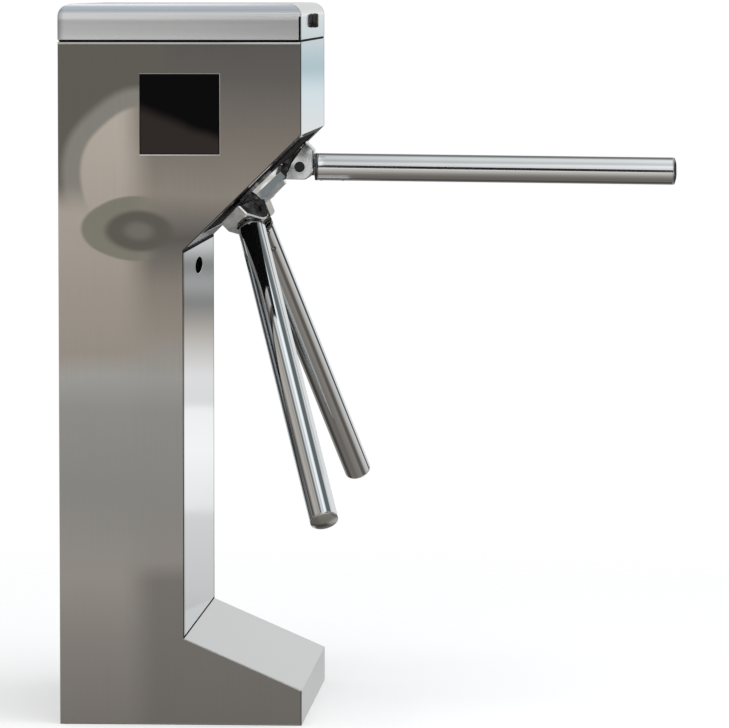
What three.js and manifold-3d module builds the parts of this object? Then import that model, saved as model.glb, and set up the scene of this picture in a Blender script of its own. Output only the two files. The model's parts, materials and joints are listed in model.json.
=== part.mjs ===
// Waist-high turnstile: a steel pedestal with a slanted head face, and a rotor with three drop arms.
// Millimetres. The origin is the middle of the pedestal's footprint, on the floor.
// +X points into the passage, -Y to the near side of the passage and +Z up.
import * as THREE from "three";
import { mergeVertices } from "three/addons/utils/BufferGeometryUtils.js";
import { ConvexGeometry } from "three/addons/geometries/ConvexGeometry.js";
import Module from "manifold-3d";

// Fits and sheet metal
const fit = 0.3;
const seam = 1.6;
const sheet = 1.5;
const overrun = 4;
const weldTolerance = 0.0005;

// Pedestal, seen from its near side
const cabinetWidth = 330;
const cabinetDepth = 480;
const bodyHeight = 930;
const columnWidth = 170;
const headEndHeight = 126.8;
const footBackHeight = 118;
const footToeHeight = 48;

// The rotor's axis dips below the horizontal, square to the slanted face
const axisPitchDegrees = 45.6;
const armConeDegrees = 45;
const armCount = 3;

const fold = { panelFlange: 18, slantReturn: 14, footReturn: 14 };
const slantOpening = { topMargin: 10, bottomMargin: 27, sideMargin: 45 };
const coverPlate = { thickness: 3, overlap: 8, shaftClearance: 6 };
const service = {
  flangeDepth: 12,
  flangeInset: 26,
  endInset: 44,
  openingInset: 25,
  lowerBar: 32,
  upperBar: 14,
};
const fingerSlot = { width: 112, height: 22.6, drop: 30.5 };
const base = { thickness: 8, anchorRadius: 7, anchorInsetX: 32, anchorInsetY: 45, cableRadius: 30 };
const post = { width: 40, depth: 24, thickness: 2.5, insetX: 25 };
const rim = { height: 15, flange: 14 };
const lid = { height: 48.4, edgeRadius: 17, wall: 1.5, flange: 12, tabLength: 13 };
const hinge = { pinRadius: 1.5, notch: 2.4, endInset: 20 };
const lock = { headRadius: 10, headDepth: 7, bodyRadius: 8.7, bodyLength: 18, plugRadius: 6, plugProud: 1 };
const key = { slotWidth: 1.6, slotLength: 8, slotDepth: 3 };
const cam = { thickness: 3, width: 12, reach: 28 };
const keeper = { thickness: 2, width: 10, lipLength: 15, offset: 31, lipGap: 2 };
const pane = { side: 108, drop: 99, thickness: 4, edgeGap: 0.8 };
const housing = { border: 12, ledge: 5, depth: 19, wall: 2.4, backVent: 20 };

// Mechanism, as distances behind the slanted face
const bearing = { outerRadius: 26, innerRadius: 12.6, width: 15, land: 3 };
const shaft = { radius: 12.3, flangeRadius: 30, flangeWidth: 9, shoulderRadius: 16 };
const chassis = { depth: 22, thickness: 8, halfLength: 92, sideGap: 3, shaftRadius: 20 };
const rail = { thickness: 4, flange: 26, postReach: 14 };
const bearingBody = { flangeRadius: 46, flangeWidth: 9, radius: 33, gap: 11, lipRadius: 21 };
const gear = { teeth: 36, module: 3, width: 8, depth: 86, addendumShare: 0.9, dedendumShare: 1.2 };
const toothShares = { tipShare: 0.2, rootShare: 0.62 };
const pinion = { teeth: 12, shaftRadius: 5, shaftInside: 16 };
const motor = { radius: 22, flangeRadius: 25, flangeWidth: 5, stepRadius: 17, stepLength: 12 };
const lockWheel = { radius: 30, lugRadius: 46, width: 8, depth: 102, tipShare: 0.167, rootShare: 0.23 };
const rear = { depth: 110, thickness: 4, halfLength: 78, halfWidth: 126, corner: 14, shaftRadius: 20 };
const standoff = { radius: 6, x: 64, y: 116 };
const pawl = { width: 12, thickness: 8, pivotX: 56, pivotY: 62, nose: 49, tail: 31, pinRadius: 4, boss: 9 };
const solenoid = { length: 42, width: 26, height: 24, x: -30, y: 87, boreRadius: 3.6 };
const plunger = {
  radius: 3,
  tipRadius: 2.5,
  tipLength: 8,
  tipGap: 0.5,
  inside: 26,
  collarRadius: 4,
  collar: 2,
};
const encoder = {
  radius: 30,
  thickness: 1.5,
  depth: 118,
  notches: 24,
  notchDepth: 3,
  hub: 3,
  hubRadius: 18,
};
const notchShares = { tipShare: 0.5, rootShare: 0.5 };
const sensor = {
  x: 36,
  length: 34,
  width: 30,
  thickness: 1.6,
  forkLength: 12,
  forkWidth: 12,
  wall: 3,
  gap: 3,
};

// Hub and arms
const pivot = { radius: 64, height: 24, pinRadius: 7, pinRecess: 3 };
const hub = { base: 3, skirtTop: 9.5, shoulder: 20, front: 26.5, flat: 36, forkFlat: 40 };
const hubTaper = { skirtShare: 1.16, frontShare: 0.82 };
const lug = { width: 44, bevel: 1.6, webWidth: 30, slotWidth: 22.6, stop: 19.3, top: 35, heel: 20.5 };
const lugLine = { apex: 8, sole: 17.7, kneeBack: 13, kneeUp: 5, shoulder: 23.5 };
const hubCap = { radius: 20, thickness: 2, chamfer: 0.8, recess: 2 };
const root = { eyeRadius: 17, eyeClearance: 1.2, width: 22, neck: 24, collar: 4.4, start: 20.4, plug: 46 };
const tube = { radius: 19, wall: 2, length: 494 };
const endCap = { rim: 1, dome: 4.2, plug: 14, plugWall: 3, domeShares: [1, 0.88, 0.72, 0.5, 0.25, 0] };

// Electronics on the back panel
const board = {
  width: 150,
  height: 150,
  thickness: 1.6,
  standoff: 12,
  y: -45,
  z: 405,
  legRadius: 3,
  legInset: 8,
};
const chip = {
  side: 26,
  height: 4,
  relayWidth: 16,
  relayLength: 25,
  relayHeight: 15,
  terminal: 9,
  terminalLength: 118,
  terminalHeight: 11,
};
const supply = { width: 110, height: 150, depth: 44, y: 105, z: 405, ventDepth: 2, ventWidth: 3, vents: 9 };

// How finely round forms are faceted
const sides = { fine: 40, round: 24, small: 12, arc: 6, lidEdge: 8 };

// Places worked out from the sizes
const left = -cabinetWidth / 2;
const right = cabinetWidth / 2;
const columnFace = left + columnWidth;
const halfDepth = cabinetDepth / 2;
const innerHalf = halfDepth - sheet - fit;
const pitch = THREE.MathUtils.degToRad(axisPitchDegrees);
const cone = THREE.MathUtils.degToRad(armConeDegrees);
const faceLength = (right - columnFace) / Math.sin(pitch);
const faceTopHeight = bodyHeight - headEndHeight;
const faceFootHeight = faceTopHeight - faceLength * Math.cos(pitch);
const rimTop = bodyHeight + seam - fit;
const lidBase = bodyHeight + seam;
const lidTop = lidBase + lid.height;
const lockHeight = lidBase + lid.height / 2;
const windowHeight = bodyHeight - pane.drop;

const upSlope = new THREE.Vector3(Math.sin(pitch), 0, Math.cos(pitch));
const outward = new THREE.Vector3(Math.cos(pitch), 0, -Math.sin(pitch));
const towardNear = new THREE.Vector3(0, -1, 0);
const faceCentre = new THREE.Vector3((columnFace + right) / 2, 0, (faceFootHeight + faceTopHeight) / 2);
// The slant frame: X up the slope, Y to the near side, Z out along the rotor's axis
const slantMatrix = new THREE.Matrix4().makeBasis(upSlope, towardNear, outward).setPosition(faceCentre);

const steelBrushed = material(0x8f8b84, 0.42, 1);
const steelPolished = material(0xc4ccd0, 0.16, 1);
const steelZinc = material(0xa7a9a6, 0.5, 0.9);
const steelDark = material(0x2a2a2b, 0.5, 0.7);
const castSilver = material(0xb4b6b5, 0.4, 0.9);
const chrome = material(0xd5d8da, 0.1, 1);
const plasticBlack = material(0x0d0d0e, 0.45, 0);
const glassBlack = material(0x050505, 0.06, 0);
const coatedBlack = material(0x101011, 0.55, 0.2);
const boardGreen = material(0x1f5a34, 0.5, 0);
const brass = material(0xb08d3c, 0.35, 1);

const wasm = await Module();
wasm.setup();

function material(color, roughness, metalness) {
  return new THREE.MeshStandardMaterial({ color, roughness, metalness });
}

// A closed geometry as a solid that can be joined and cut, facing outwards
function solid(geometry) {
  const bare = new THREE.BufferGeometry();
  bare.setAttribute("position", geometry.getAttribute("position"));
  bare.setIndex(geometry.index);
  const merged = mergeVertices(bare, weldTolerance);
  const corners = [...merged.index.array];
  const triangles = [];
  for (let i = 0; i < corners.length; i += 3) {
    const [a, b, c] = corners.slice(i, i + 3);
    if (a !== b && b !== c && c !== a) triangles.push([a, b, c]);
  }
  const made = manifoldOf(merged, triangles);
  if (made.volume() >= 0) return made;
  return manifoldOf(merged, triangles.map(([a, b, c]) => [a, c, b]));
}

function manifoldOf(merged, triangles) {
  const vertProperties = new Float32Array(merged.attributes.position.array);
  const triVerts = new Uint32Array(triangles.flat());
  return new wasm.Manifold(new wasm.Mesh({ numProp: 3, vertProperties, triVerts }));
}

function geometryOf(body) {
  const mesh = body.getMesh();
  const geometry = new THREE.BufferGeometry();
  geometry.setAttribute("position", new THREE.BufferAttribute(mesh.vertProperties, mesh.numProp));
  geometry.setIndex(new THREE.BufferAttribute(mesh.triVerts, 1));
  const faceted = geometry.toNonIndexed();
  faceted.computeVertexNormals();
  return faceted;
}

function join(...parts) {
  return geometryOf(parts.map(solid).reduce((whole, part) => whole.add(part)));
}

function cut(body, ...tools) {
  return geometryOf(tools.reduce((rest, tool) => rest.subtract(solid(tool)), solid(body)));
}

function overlap(body, other) {
  return geometryOf(solid(body).intersect(solid(other)));
}

function moved(geometry, matrix) {
  return geometry.clone().applyMatrix4(matrix);
}

function outline(points) {
  return new THREE.Shape(points.map(([x, y]) => new THREE.Vector2(x, y)));
}

// Points on an arc, for use inside an outline
function arc(x, y, radius, fromDegrees, toDegrees, steps = sides.arc) {
  return Array.from({ length: steps + 1 }, (_, i) => {
    const angle = THREE.MathUtils.degToRad(fromDegrees + ((toDegrees - fromDegrees) * i) / steps);
    return [x + radius * Math.cos(angle), y + radius * Math.sin(angle)];
  });
}

function circle(x, y, radius, steps) {
  return arc(x, y, radius, 0, 360, steps).slice(0, steps);
}

function ellipse(x, y, halfWidth, halfHeight) {
  return circle(0, 0, 1, sides.fine).map(([u, v]) => [x + u * halfWidth, y + v * halfHeight]);
}

function rectangle(x0, x1, y0, y1) {
  return [
    [x0, y0],
    [x1, y0],
    [x1, y1],
    [x0, y1],
  ];
}

// A rectangle with round corners
function roundedRectangle(x0, x1, y0, y1, radius, steps = sides.arc) {
  return [
    ...arc(x1 - radius, y1 - radius, radius, 0, 90, steps),
    ...arc(x0 + radius, y1 - radius, radius, 90, 180, steps),
    ...arc(x0 + radius, y0 + radius, radius, 180, 270, steps),
    ...arc(x1 - radius, y0 + radius, radius, 270, 360, steps),
  ];
}

function block([x0, x1], [y0, y1], [z0, z1]) {
  const box = new THREE.BoxGeometry(x1 - x0, y1 - y0, z1 - z0);
  return box.translate((x0 + x1) / 2, (y0 + y1) / 2, (z0 + z1) / 2);
}

// An outline in X and Y, with holes, carried along Z
function slab(points, z0, z1, holes = []) {
  const shape = outline(points);
  holes.forEach((hole) => shape.holes.push(outline(hole)));
  return new THREE.ExtrudeGeometry(shape, { depth: z1 - z0, bevelEnabled: false }).translate(0, 0, z0);
}

// An outline in X and Z carried along Y
function alongY(points, y0, y1, holes = []) {
  return slab(points, 0, y1 - y0, holes).rotateX(Math.PI / 2).translate(0, y1, 0);
}

// An outline in Y and Z carried along X
function alongX(points, x0, x1, holes = []) {
  const turn = new THREE.Matrix4().makeBasis(
    new THREE.Vector3(0, 1, 0),
    new THREE.Vector3(0, 0, 1),
    new THREE.Vector3(1, 0, 0),
  );
  return slab(points, x0, x1, holes).applyMatrix4(turn);
}

function rod(radius, z0, z1, count = sides.round) {
  return new THREE.CylinderGeometry(radius, radius, z1 - z0, count)
    .rotateX(Math.PI / 2)
    .translate(0, 0, (z0 + z1) / 2);
}

// A closed profile of radius and height, turned about Z
function turned(profile, count = sides.round) {
  const points = [...profile, profile[0]].map(([radius, z]) => new THREE.Vector2(radius, z));
  return geometryOf(solid(new THREE.LatheGeometry(points, count).rotateX(Math.PI / 2)));
}

// Points turned about X instead of Z: Z becomes X
function toX(geometry) {
  return geometry.rotateY(Math.PI / 2);
}

// The outline of a sheet that is bent along a path, with its thickness on the path's left
function bentSheet(path, thickness) {
  const normals = path.slice(1).map(([x, y], i) => {
    const run = new THREE.Vector2(x - path[i][0], y - path[i][1]).normalize();
    return new THREE.Vector2(-run.y, run.x);
  });
  const inner = path.map(([x, y], i) => {
    const before = normals[Math.max(i - 1, 0)];
    const after = normals[Math.min(i, normals.length - 1)];
    const mitre = before.clone().add(after).divideScalar(1 + before.dot(after));
    return [x + thickness * mitre.x, y + thickness * mitre.y];
  });
  return [...path, ...inner.reverse()];
}

// A wheel's outline with its teeth, each centred on a multiple of the pitch angle
function toothed(count, rootRadius, tipRadius, shares, rootSteps = 1) {
  const pitchDegrees = 360 / count;
  return Array.from({ length: count }, (_, i) => {
    const tip = (pitchDegrees * shares.tipShare) / 2;
    const foot = (pitchDegrees * shares.rootShare) / 2;
    const centre = i * pitchDegrees;
    return [
      ...arc(0, 0, tipRadius, centre - tip, centre + tip, 1),
      ...arc(0, 0, rootRadius, centre + foot, centre + pitchDegrees - foot, rootSteps),
    ];
  }).flat();
}

const turnstile = new THREE.Group();
const slant = new THREE.Group();
slant.applyMatrix4(slantMatrix);
turnstile.add(slant);

function piece(name, geometry, finish, group = turnstile) {
  const mesh = new THREE.Mesh(geometry, finish);
  mesh.name = name;
  group.add(mesh);
}

function mirroredY(geometry) {
  return moved(geometry, new THREE.Matrix4().makeScale(1, -1, 1));
}

// A piece drawn on its group's +Y side, and its mirror image. The slant's +Y is the near side
function pair(name, drawn, finish, group = turnstile) {
  const mirrored = geometryOf(solid(mirroredY(drawn)));
  const [front, back] = group === slant ? [drawn, mirrored] : [mirrored, drawn];
  piece(name + "_front", front, finish, group);
  piece(name + "_back", back, finish, group);
}

// Pedestal

const silhouette = [
  [left, 0],
  [right, 0],
  [right, footToeHeight],
  [columnFace, footBackHeight],
  [columnFace, faceFootHeight],
  [right, faceTopHeight],
  [right, bodyHeight],
  [left, bodyHeight],
];

function windowSquare(half) {
  return rectangle(-half, half, windowHeight - half, windowHeight + half);
}

function sidePanel() {
  return alongY(silhouette, halfDepth - sheet, halfDepth, [windowSquare(pane.side / 2)]);
}

function backPanel() {
  const flangeTop = bodyHeight - rim.height - seam;
  const web = block([left, left + sheet], [-innerHalf, innerHalf], [0, bodyHeight]);
  const reach = [left + sheet / 2, left + fold.panelFlange];
  const flange = (sideY) => block(reach, sideY, [base.thickness + fit, flangeTop]);
  const notchLength = halfDepth - hinge.endInset;
  const notch = block(
    [left - overrun, left + sheet + overrun],
    [-notchLength, notchLength],
    [bodyHeight + seam / 2 - hinge.notch, bodyHeight + overrun],
  );
  const bent = join(web, flange([innerHalf - sheet, innerHalf]), flange([-innerHalf, sheet - innerHalf]));
  return cut(bent, notch);
}

// One sheet makes the head's end, the slanted face and a return under it
function headFrontPanel() {
  const path = [
    [columnFace - fold.slantReturn, faceFootHeight],
    [columnFace, faceFootHeight],
    [right, faceTopHeight],
    [right, bodyHeight],
  ];
  const bent = alongY(bentSheet(path, sheet), -innerHalf, innerHalf);
  const low = slantOpening.bottomMargin - faceLength / 2;
  const high = faceLength / 2 - slantOpening.topMargin;
  const half = halfDepth - slantOpening.sideMargin;
  const opening = block([low, high], [-half, half], [-sheet - overrun, overrun]);
  return cut(bent, moved(opening, slantMatrix));
}

function columnFrame() {
  const low = footBackHeight + fit;
  const high = faceFootHeight - fit;
  const x1 = columnFace - sheet - fit;
  const half = innerHalf - service.openingInset;
  const opening = rectangle(-half, half, low + service.lowerBar, high - service.upperBar);
  const ring = alongX(rectangle(-innerHalf, innerHalf, low, high), x1 - sheet, x1, [opening]);
  const flange = block(
    [x1 - service.flangeDepth, x1 - sheet / 2],
    [innerHalf - sheet, innerHalf],
    [low, high],
  );
  return join(ring, flange, mirroredY(flange));
}

// The lift-off front of the column: stiffened at its sides, with an oval slot to pull it by
function servicePanel() {
  const low = footBackHeight + seam;
  const high = faceFootHeight - seam;
  const half = halfDepth - sheet - seam;
  const face = block([columnFace - sheet, columnFace], [-half, half], [low, high]);
  const outer = half - service.flangeInset;
  const flange = block(
    [columnFace - service.flangeDepth, columnFace - sheet / 2],
    [outer - sheet, outer],
    [low + service.endInset, high - service.endInset],
  );
  const slot = alongX(
    ellipse(0, high - fingerSlot.drop, fingerSlot.width / 2, fingerSlot.height / 2),
    columnFace - sheet - overrun,
    columnFace + overrun,
  );
  return cut(join(face, flange, mirroredY(flange)), slot);
}

function footCover() {
  const path = [
    [right, 0],
    [right, footToeHeight],
    [columnFace, footBackHeight],
    [columnFace - fold.footReturn, footBackHeight],
  ];
  return alongY(bentSheet(path, sheet), -innerHalf, innerHalf);
}

function basePlate() {
  const x0 = left + sheet + fit;
  const x1 = right - sheet - fit;
  const anchorX = [x0 + base.anchorInsetX, columnFace - base.anchorInsetX];
  const anchorY = [base.anchorInsetY - innerHalf, innerHalf - base.anchorInsetY];
  const anchors = anchorX.flatMap((x) => anchorY.map((y) => circle(x, y, base.anchorRadius, sides.small)));
  const cable = circle((x0 + columnFace) / 2, 0, base.cableRadius, sides.round);
  return slab(rectangle(x0, x1, -innerHalf, innerHalf), 0, base.thickness, [...anchors, cable]);
}

// A channel that stands on the base plate and carries the head's frame
const postOuter = innerHalf - sheet - fit;
const postInner = postOuter - post.depth;

function framePost() {
  const x0 = left + post.insetX;
  const x1 = x0 + post.width;
  const channel = [
    [x0, postOuter],
    [x0, postInner],
    [x1, postInner],
    [x1, postOuter],
  ];
  return slab(bentSheet(channel, post.thickness), base.thickness + fit, rimTop - sheet - fit);
}

// An angle frame round the top of the body, on which the lid rests
function topRim() {
  const x0 = left + sheet + fit;
  const x1 = right - sheet - fit;
  const ring = (inset) => rectangle(x0 + inset, x1 - inset, inset - innerHalf, innerHalf - inset);
  const leg = slab(ring(0), bodyHeight - rim.height, rimTop, [ring(sheet)]);
  const flange = slab(ring(0), rimTop - sheet, rimTop, [ring(rim.flange)]);
  return join(leg, flange);
}

piece("base_plate", basePlate(), steelZinc);
pair("side_panel", sidePanel(), steelBrushed);
piece("back_panel", backPanel(), steelBrushed);
piece("head_front_panel", headFrontPanel(), steelPolished);
piece("column_frame", columnFrame(), steelZinc);
piece("service_panel", servicePanel(), steelPolished);
piece("foot_cover", footCover(), steelBrushed);
pair("frame_post", framePost(), steelZinc);
piece("top_rim", topRim(), steelZinc);

// Windows with an indicator behind each

function windowPane() {
  const half = pane.side / 2 - pane.edgeGap;
  return alongY(windowSquare(half), halfDepth - pane.thickness, halfDepth);
}

// A box behind the window: it frames the glass and is closed at the back, with a cable vent
function indicatorHousing() {
  const outer = pane.side / 2 + housing.border;
  const pocket = pane.side / 2;
  const y1 = innerHalf;
  const y0 = y1 - housing.depth;
  const pocketDepth = y1 - (halfDepth - pane.thickness - fit);
  const body = alongY(windowSquare(outer), y0, y1);
  const seat = alongY(windowSquare(pocket), y1 - pocketDepth, y1 + overrun);
  const hollow = alongY(windowSquare(pocket - housing.ledge), y0 + housing.wall, y1 + overrun);
  const vent = rod(housing.backVent / 2, y0 - overrun, y0 + housing.depth, sides.small);
  return cut(body, seat, hollow, vent.rotateX(-Math.PI / 2).translate(0, 0, windowHeight));
}

pair("window", windowPane(), glassBlack);
pair("indicator_housing", indicatorHousing(), plasticBlack);

// Lid

// A section of the lid: upright sides and a round edge at each top corner
function lidSection(half, top, radius, baseHeight) {
  return [
    [half, baseHeight],
    ...arc(half - radius, top - radius, radius, 0, 90, sides.lidEdge),
    ...arc(radius - half, top - radius, radius, 90, 180, sides.lidEdge),
    [-half, baseHeight],
  ];
}

// Both sections carried through each other, so that the round edges meet in mitres
function lidForm(inset, baseHeight) {
  const radius = lid.edgeRadius - inset;
  const across = lidSection(halfDepth - inset, lidTop - inset, radius, baseHeight);
  const along = lidSection(right - inset, lidTop - inset, radius, baseHeight);
  return overlap(alongX(across, left, right), alongY(along, -halfDepth, halfDepth));
}

// What belongs to the right end, seen from above: it is mitred to the sides at the corners
function lidEndPrism(gap) {
  const reach = lid.edgeRadius + gap;
  const points = [
    [right + overrun, halfDepth + overrun + gap],
    [right - reach, halfDepth - lid.edgeRadius],
    [right - reach, lid.edgeRadius - halfDepth],
    [right + overrun, -halfDepth - overrun - gap],
  ];
  return slab(points, lidBase - overrun, lidTop + overrun);
}

function lidShell() {
  const wall = lid.wall;
  const flangeHalf = halfDepth - lid.flange;
  const hollow = lidForm(wall, lidBase + wall);
  const mouth = block(
    [left + lid.flange, right + overrun],
    [-flangeHalf, flangeHalf],
    [lidBase - overrun, lockHeight],
  );
  const cornerSeam = block(
    [right - sheet - seam, right + overrun],
    [-halfDepth - overrun, halfDepth + overrun],
    [lidBase - overrun, lidTop - lid.edgeRadius],
  );
  const notchLength = halfDepth - hinge.endInset;
  const notch = block(
    [left - overrun, left + hinge.notch],
    [-notchLength, notchLength],
    [lidBase - overrun, bodyHeight + seam / 2 + hinge.notch],
  );
  return cut(lidForm(0, lidBase), hollow, mouth, cornerSeam, notch, lidEndPrism(fit));
}

// The polished right end, with a tab at each side that is riveted inside the shell
function lidEndCap() {
  const skin = cut(lidForm(0, lidBase), lidForm(lid.wall, lidBase - overrun));
  const end = overlap(skin, lidEndPrism(0));
  const tabX = right - sheet - lid.tabLength;
  const y1 = halfDepth - lid.wall - fit;
  const tabZ = [lidBase + lid.wall + fit, lidTop - lid.edgeRadius - fit];
  const tab = block([tabX, right - sheet / 2], [y1 - sheet, y1], tabZ);
  const hole = rod(lock.bodyRadius + fit, right - overrun - sheet, right + overrun);
  return cut(join(end, tab, mirroredY(tab)), toX(hole).translate(0, 0, lockHeight));
}

function hingePin() {
  const half = halfDepth - hinge.endInset - fit;
  const pin = new THREE.CylinderGeometry(hinge.pinRadius, hinge.pinRadius, 2 * half, sides.small);
  return pin.translate(left, 0, bodyHeight + seam / 2);
}

// A cam lock: its housing is held in the end cap, and its plug turns a cam behind a keeper
const lockBack = right - sheet - lock.bodyLength;
const plugBore = lock.plugRadius + fit;

function lockHousing() {
  const head = right + fit;
  return toX(turned([
    [plugBore, lockBack],
    [lock.bodyRadius, lockBack],
    [lock.bodyRadius, head],
    [lock.headRadius, head],
    [lock.headRadius, head + lock.headDepth / 2],
    [lock.headRadius - lock.plugProud, head + lock.headDepth],
    [plugBore, head + lock.headDepth],
  ])).translate(0, 0, lockHeight);
}

function lockPlug() {
  const front = right + fit + lock.headDepth;
  const plug = rod(lock.plugRadius, lockBack - fit, front);
  const slot = block(
    [-key.slotWidth / 2, key.slotWidth / 2],
    [-key.slotLength / 2, key.slotLength / 2],
    [front - key.slotDepth, front + overrun],
  );
  return toX(cut(plug, slot)).translate(0, 0, lockHeight);
}

// At rest the cam hangs down, unlocked
function lockCam() {
  const round = cam.width / 2;
  const points = [
    ...arc(0, 0, round, 0, 180),
    ...arc(0, round - cam.reach, round, 180, 360),
  ];
  const x1 = lockBack - 2 * fit;
  return alongX(points, x1 - cam.thickness, x1).translate(0, 0, lockHeight);
}

// A bracket on the rim, whose lip lies above the cam once the cam is turned to it
function lidKeeper() {
  const x1 = lockBack - fit;
  const x0 = x1 - keeper.width;
  const y1 = -keeper.offset;
  const y0 = y1 - keeper.thickness;
  const bottom = rimTop + fit;
  const lipHeight = lockHeight + cam.width / 2 + keeper.lipGap;
  const top = lipHeight + keeper.thickness;
  const upright = block([x0, x1], [y0, y1], [bottom, top]);
  const lip = block([x0, x1], [y0, y1 + keeper.lipLength], [lipHeight, top]);
  const footReach = right - sheet - fit - rim.flange / 2;
  const foot = block([x0, footReach], [y0 - keeper.lipLength, y1], [bottom, bottom + keeper.thickness]);
  return join(upright, lip, foot);
}

piece("lid_shell", lidShell(), steelBrushed);
piece("lid_end_cap", lidEndCap(), steelPolished);
piece("lid_hinge_pin", hingePin(), steelPolished);
piece("lid_lock_housing", lockHousing(), chrome);
piece("lid_lock_plug", lockPlug(), brass);
piece("lid_lock_cam", lockCam(), steelZinc);
piece("lid_keeper", lidKeeper(), steelZinc);

// Slanted face and the chassis behind it

const chassisBack = -chassis.depth - chassis.thickness;
const chassisHalf = postInner - fit - rail.thickness - chassis.sideGap;
const housingFront = chassisBack - fit;
const gearFront = gear.width - gear.depth;
const gearRadius = (gear.teeth * gear.module) / 2;
const pinionRadius = (pinion.teeth * gear.module) / 2;
const motorX = gearRadius + pinionRadius;

function hubCoverPlate() {
  const low = slantOpening.bottomMargin - faceLength / 2 - coverPlate.overlap;
  const high = faceLength / 2 - slantOpening.topMargin + coverPlate.overlap;
  const half = halfDepth - slantOpening.sideMargin + coverPlate.overlap;
  const front = -sheet - fit;
  const hole = circle(0, 0, shaft.flangeRadius + coverPlate.shaftClearance, sides.fine);
  const corners = roundedRectangle(low, high, -half, half, coverPlate.overlap, 2);
  return slab(corners, front - coverPlate.thickness, front, [hole]);
}

function mechanismPlate() {
  const length = chassis.halfLength;
  const corners = roundedRectangle(-length, length, -chassisHalf, chassisHalf, coverPlate.overlap, 2);
  return slab(corners, chassisBack, -chassis.depth, [circle(0, 0, chassis.shaftRadius, sides.round)]);
}

// A plate from the post to the slanted chassis, with a flange that the chassis is bolted to
function mechanismRail() {
  const y0 = postInner - fit - rail.thickness;
  const y1 = postInner - fit;
  const flangeHalf = chassis.halfLength - coverPlate.overlap;
  const corner = (along, depth) => {
    const place = new THREE.Vector3(along, 0, depth).applyMatrix4(slantMatrix);
    return [place.x, place.z];
  };
  const low = corner(-flangeHalf, housingFront);
  const high = corner(flangeHalf, housingFront);
  const postLeft = left + post.insetX;
  const web = alongY(
    [
      low,
      high,
      [postLeft + post.width, high[1] + rail.postReach],
      [postLeft, high[1] + rail.postReach],
      [postLeft, low[1] - rail.postReach],
      [postLeft + post.width, low[1] - rail.postReach],
    ],
    y0,
    y1,
  );
  const flange = block(
    [-flangeHalf, flangeHalf],
    [-y1, rail.flange - y1],
    [housingFront - rail.thickness, housingFront],
  );
  return join(web, moved(flange, slantMatrix));
}

// The bearing body hangs from the chassis and holds one bearing at each end
const bearingDepth = bearing.width + fit;
const lipFront = housingFront - bearing.land - bearingDepth;
const lipBack = lipFront - bearingBody.gap;
const housingBack = lipBack - bearingDepth;

function bearingHousing() {
  const seat = bearing.outerRadius + fit;
  const flangeBack = housingFront - bearingBody.flangeWidth;
  return turned([
    [seat, housingFront],
    [bearingBody.flangeRadius, housingFront],
    [bearingBody.flangeRadius, flangeBack],
    [bearingBody.radius, flangeBack],
    [bearingBody.radius, housingBack],
    [seat, housingBack],
    [seat, lipBack],
    [bearingBody.lipRadius, lipBack],
    [bearingBody.lipRadius, lipFront],
    [seat, lipFront],
  ]);
}

function ballBearing(front) {
  const groove = bearing.land;
  const middle = (bearing.outerRadius + bearing.innerRadius) / 2;
  return turned([
    [bearing.innerRadius, front],
    [middle - groove / 2, front],
    [middle - groove / 2, front - groove / 2],
    [middle + groove / 2, front - groove / 2],
    [middle + groove / 2, front],
    [bearing.outerRadius, front],
    [bearing.outerRadius, front - bearing.width],
    [bearing.innerRadius, front - bearing.width],
  ]);
}

function rotorShaft() {
  const flangeFront = hub.base - fit;
  const flangeBack = flangeFront - shaft.flangeWidth;
  const shoulderBack = housingFront - bearing.land + fit;
  const end = -encoder.depth - encoder.hub;
  return turned([
    [0, flangeFront],
    [shaft.flangeRadius, flangeFront],
    [shaft.flangeRadius, flangeBack],
    [shaft.shoulderRadius, flangeBack],
    [shaft.shoulderRadius, shoulderBack],
    [shaft.radius, shoulderBack],
    [shaft.radius, end],
    [0, end],
  ]);
}

const bore = shaft.radius + fit;

function rotorGear() {
  const rim = toothed(
    gear.teeth,
    gearRadius - gear.dedendumShare * gear.module,
    gearRadius + gear.addendumShare * gear.module,
    toothShares,
  );
  return slab(rim, -gear.depth, gearFront, [circle(0, 0, bore, sides.round)]);
}

// Its teeth stand half a pitch round, so that they fall between the gear's
function motorPinion() {
  const teeth = toothed(
    pinion.teeth,
    pinionRadius - gear.dedendumShare * gear.module,
    pinionRadius + gear.addendumShare * gear.module,
    toothShares,
  );
  const wheel = slab(teeth, -gear.depth, gearFront).rotateZ(Math.PI / pinion.teeth);
  const spindle = rod(pinion.shaftRadius, -gear.depth, gearFront + pinion.shaftInside, sides.small);
  return join(wheel, spindle).translate(motorX, 0, 0);
}

function gearMotor() {
  const end = gearFront + motor.flangeWidth;
  const bearingBore = pinion.shaftRadius + fit;
  const boreEnd = gearFront + pinion.shaftInside + fit;
  return turned([
    [0, housingFront],
    [motor.flangeRadius, housingFront],
    [motor.flangeRadius, housingFront - motor.flangeWidth],
    [motor.radius, housingFront - motor.flangeWidth],
    [motor.radius, end + motor.stepLength],
    [motor.stepRadius, end + motor.stepLength],
    [motor.stepRadius, end],
    [bearingBore, end],
    [bearingBore, boreEnd],
    [0, boreEnd],
  ]).translate(motorX, 0, 0);
}

// Three lugs, midway between the arms, that the pawls stop
function lockWheelBody() {
  const rim = toothed(armCount, lockWheel.radius, lockWheel.lugRadius, lockWheel, sides.arc);
  const hole = circle(0, 0, bore, sides.round);
  const wheel = slab(rim, -lockWheel.depth, lockWheel.width - lockWheel.depth, [hole]);
  return wheel.rotateZ(Math.PI / armCount);
}

const rearFront = rear.thickness - rear.depth;

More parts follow.
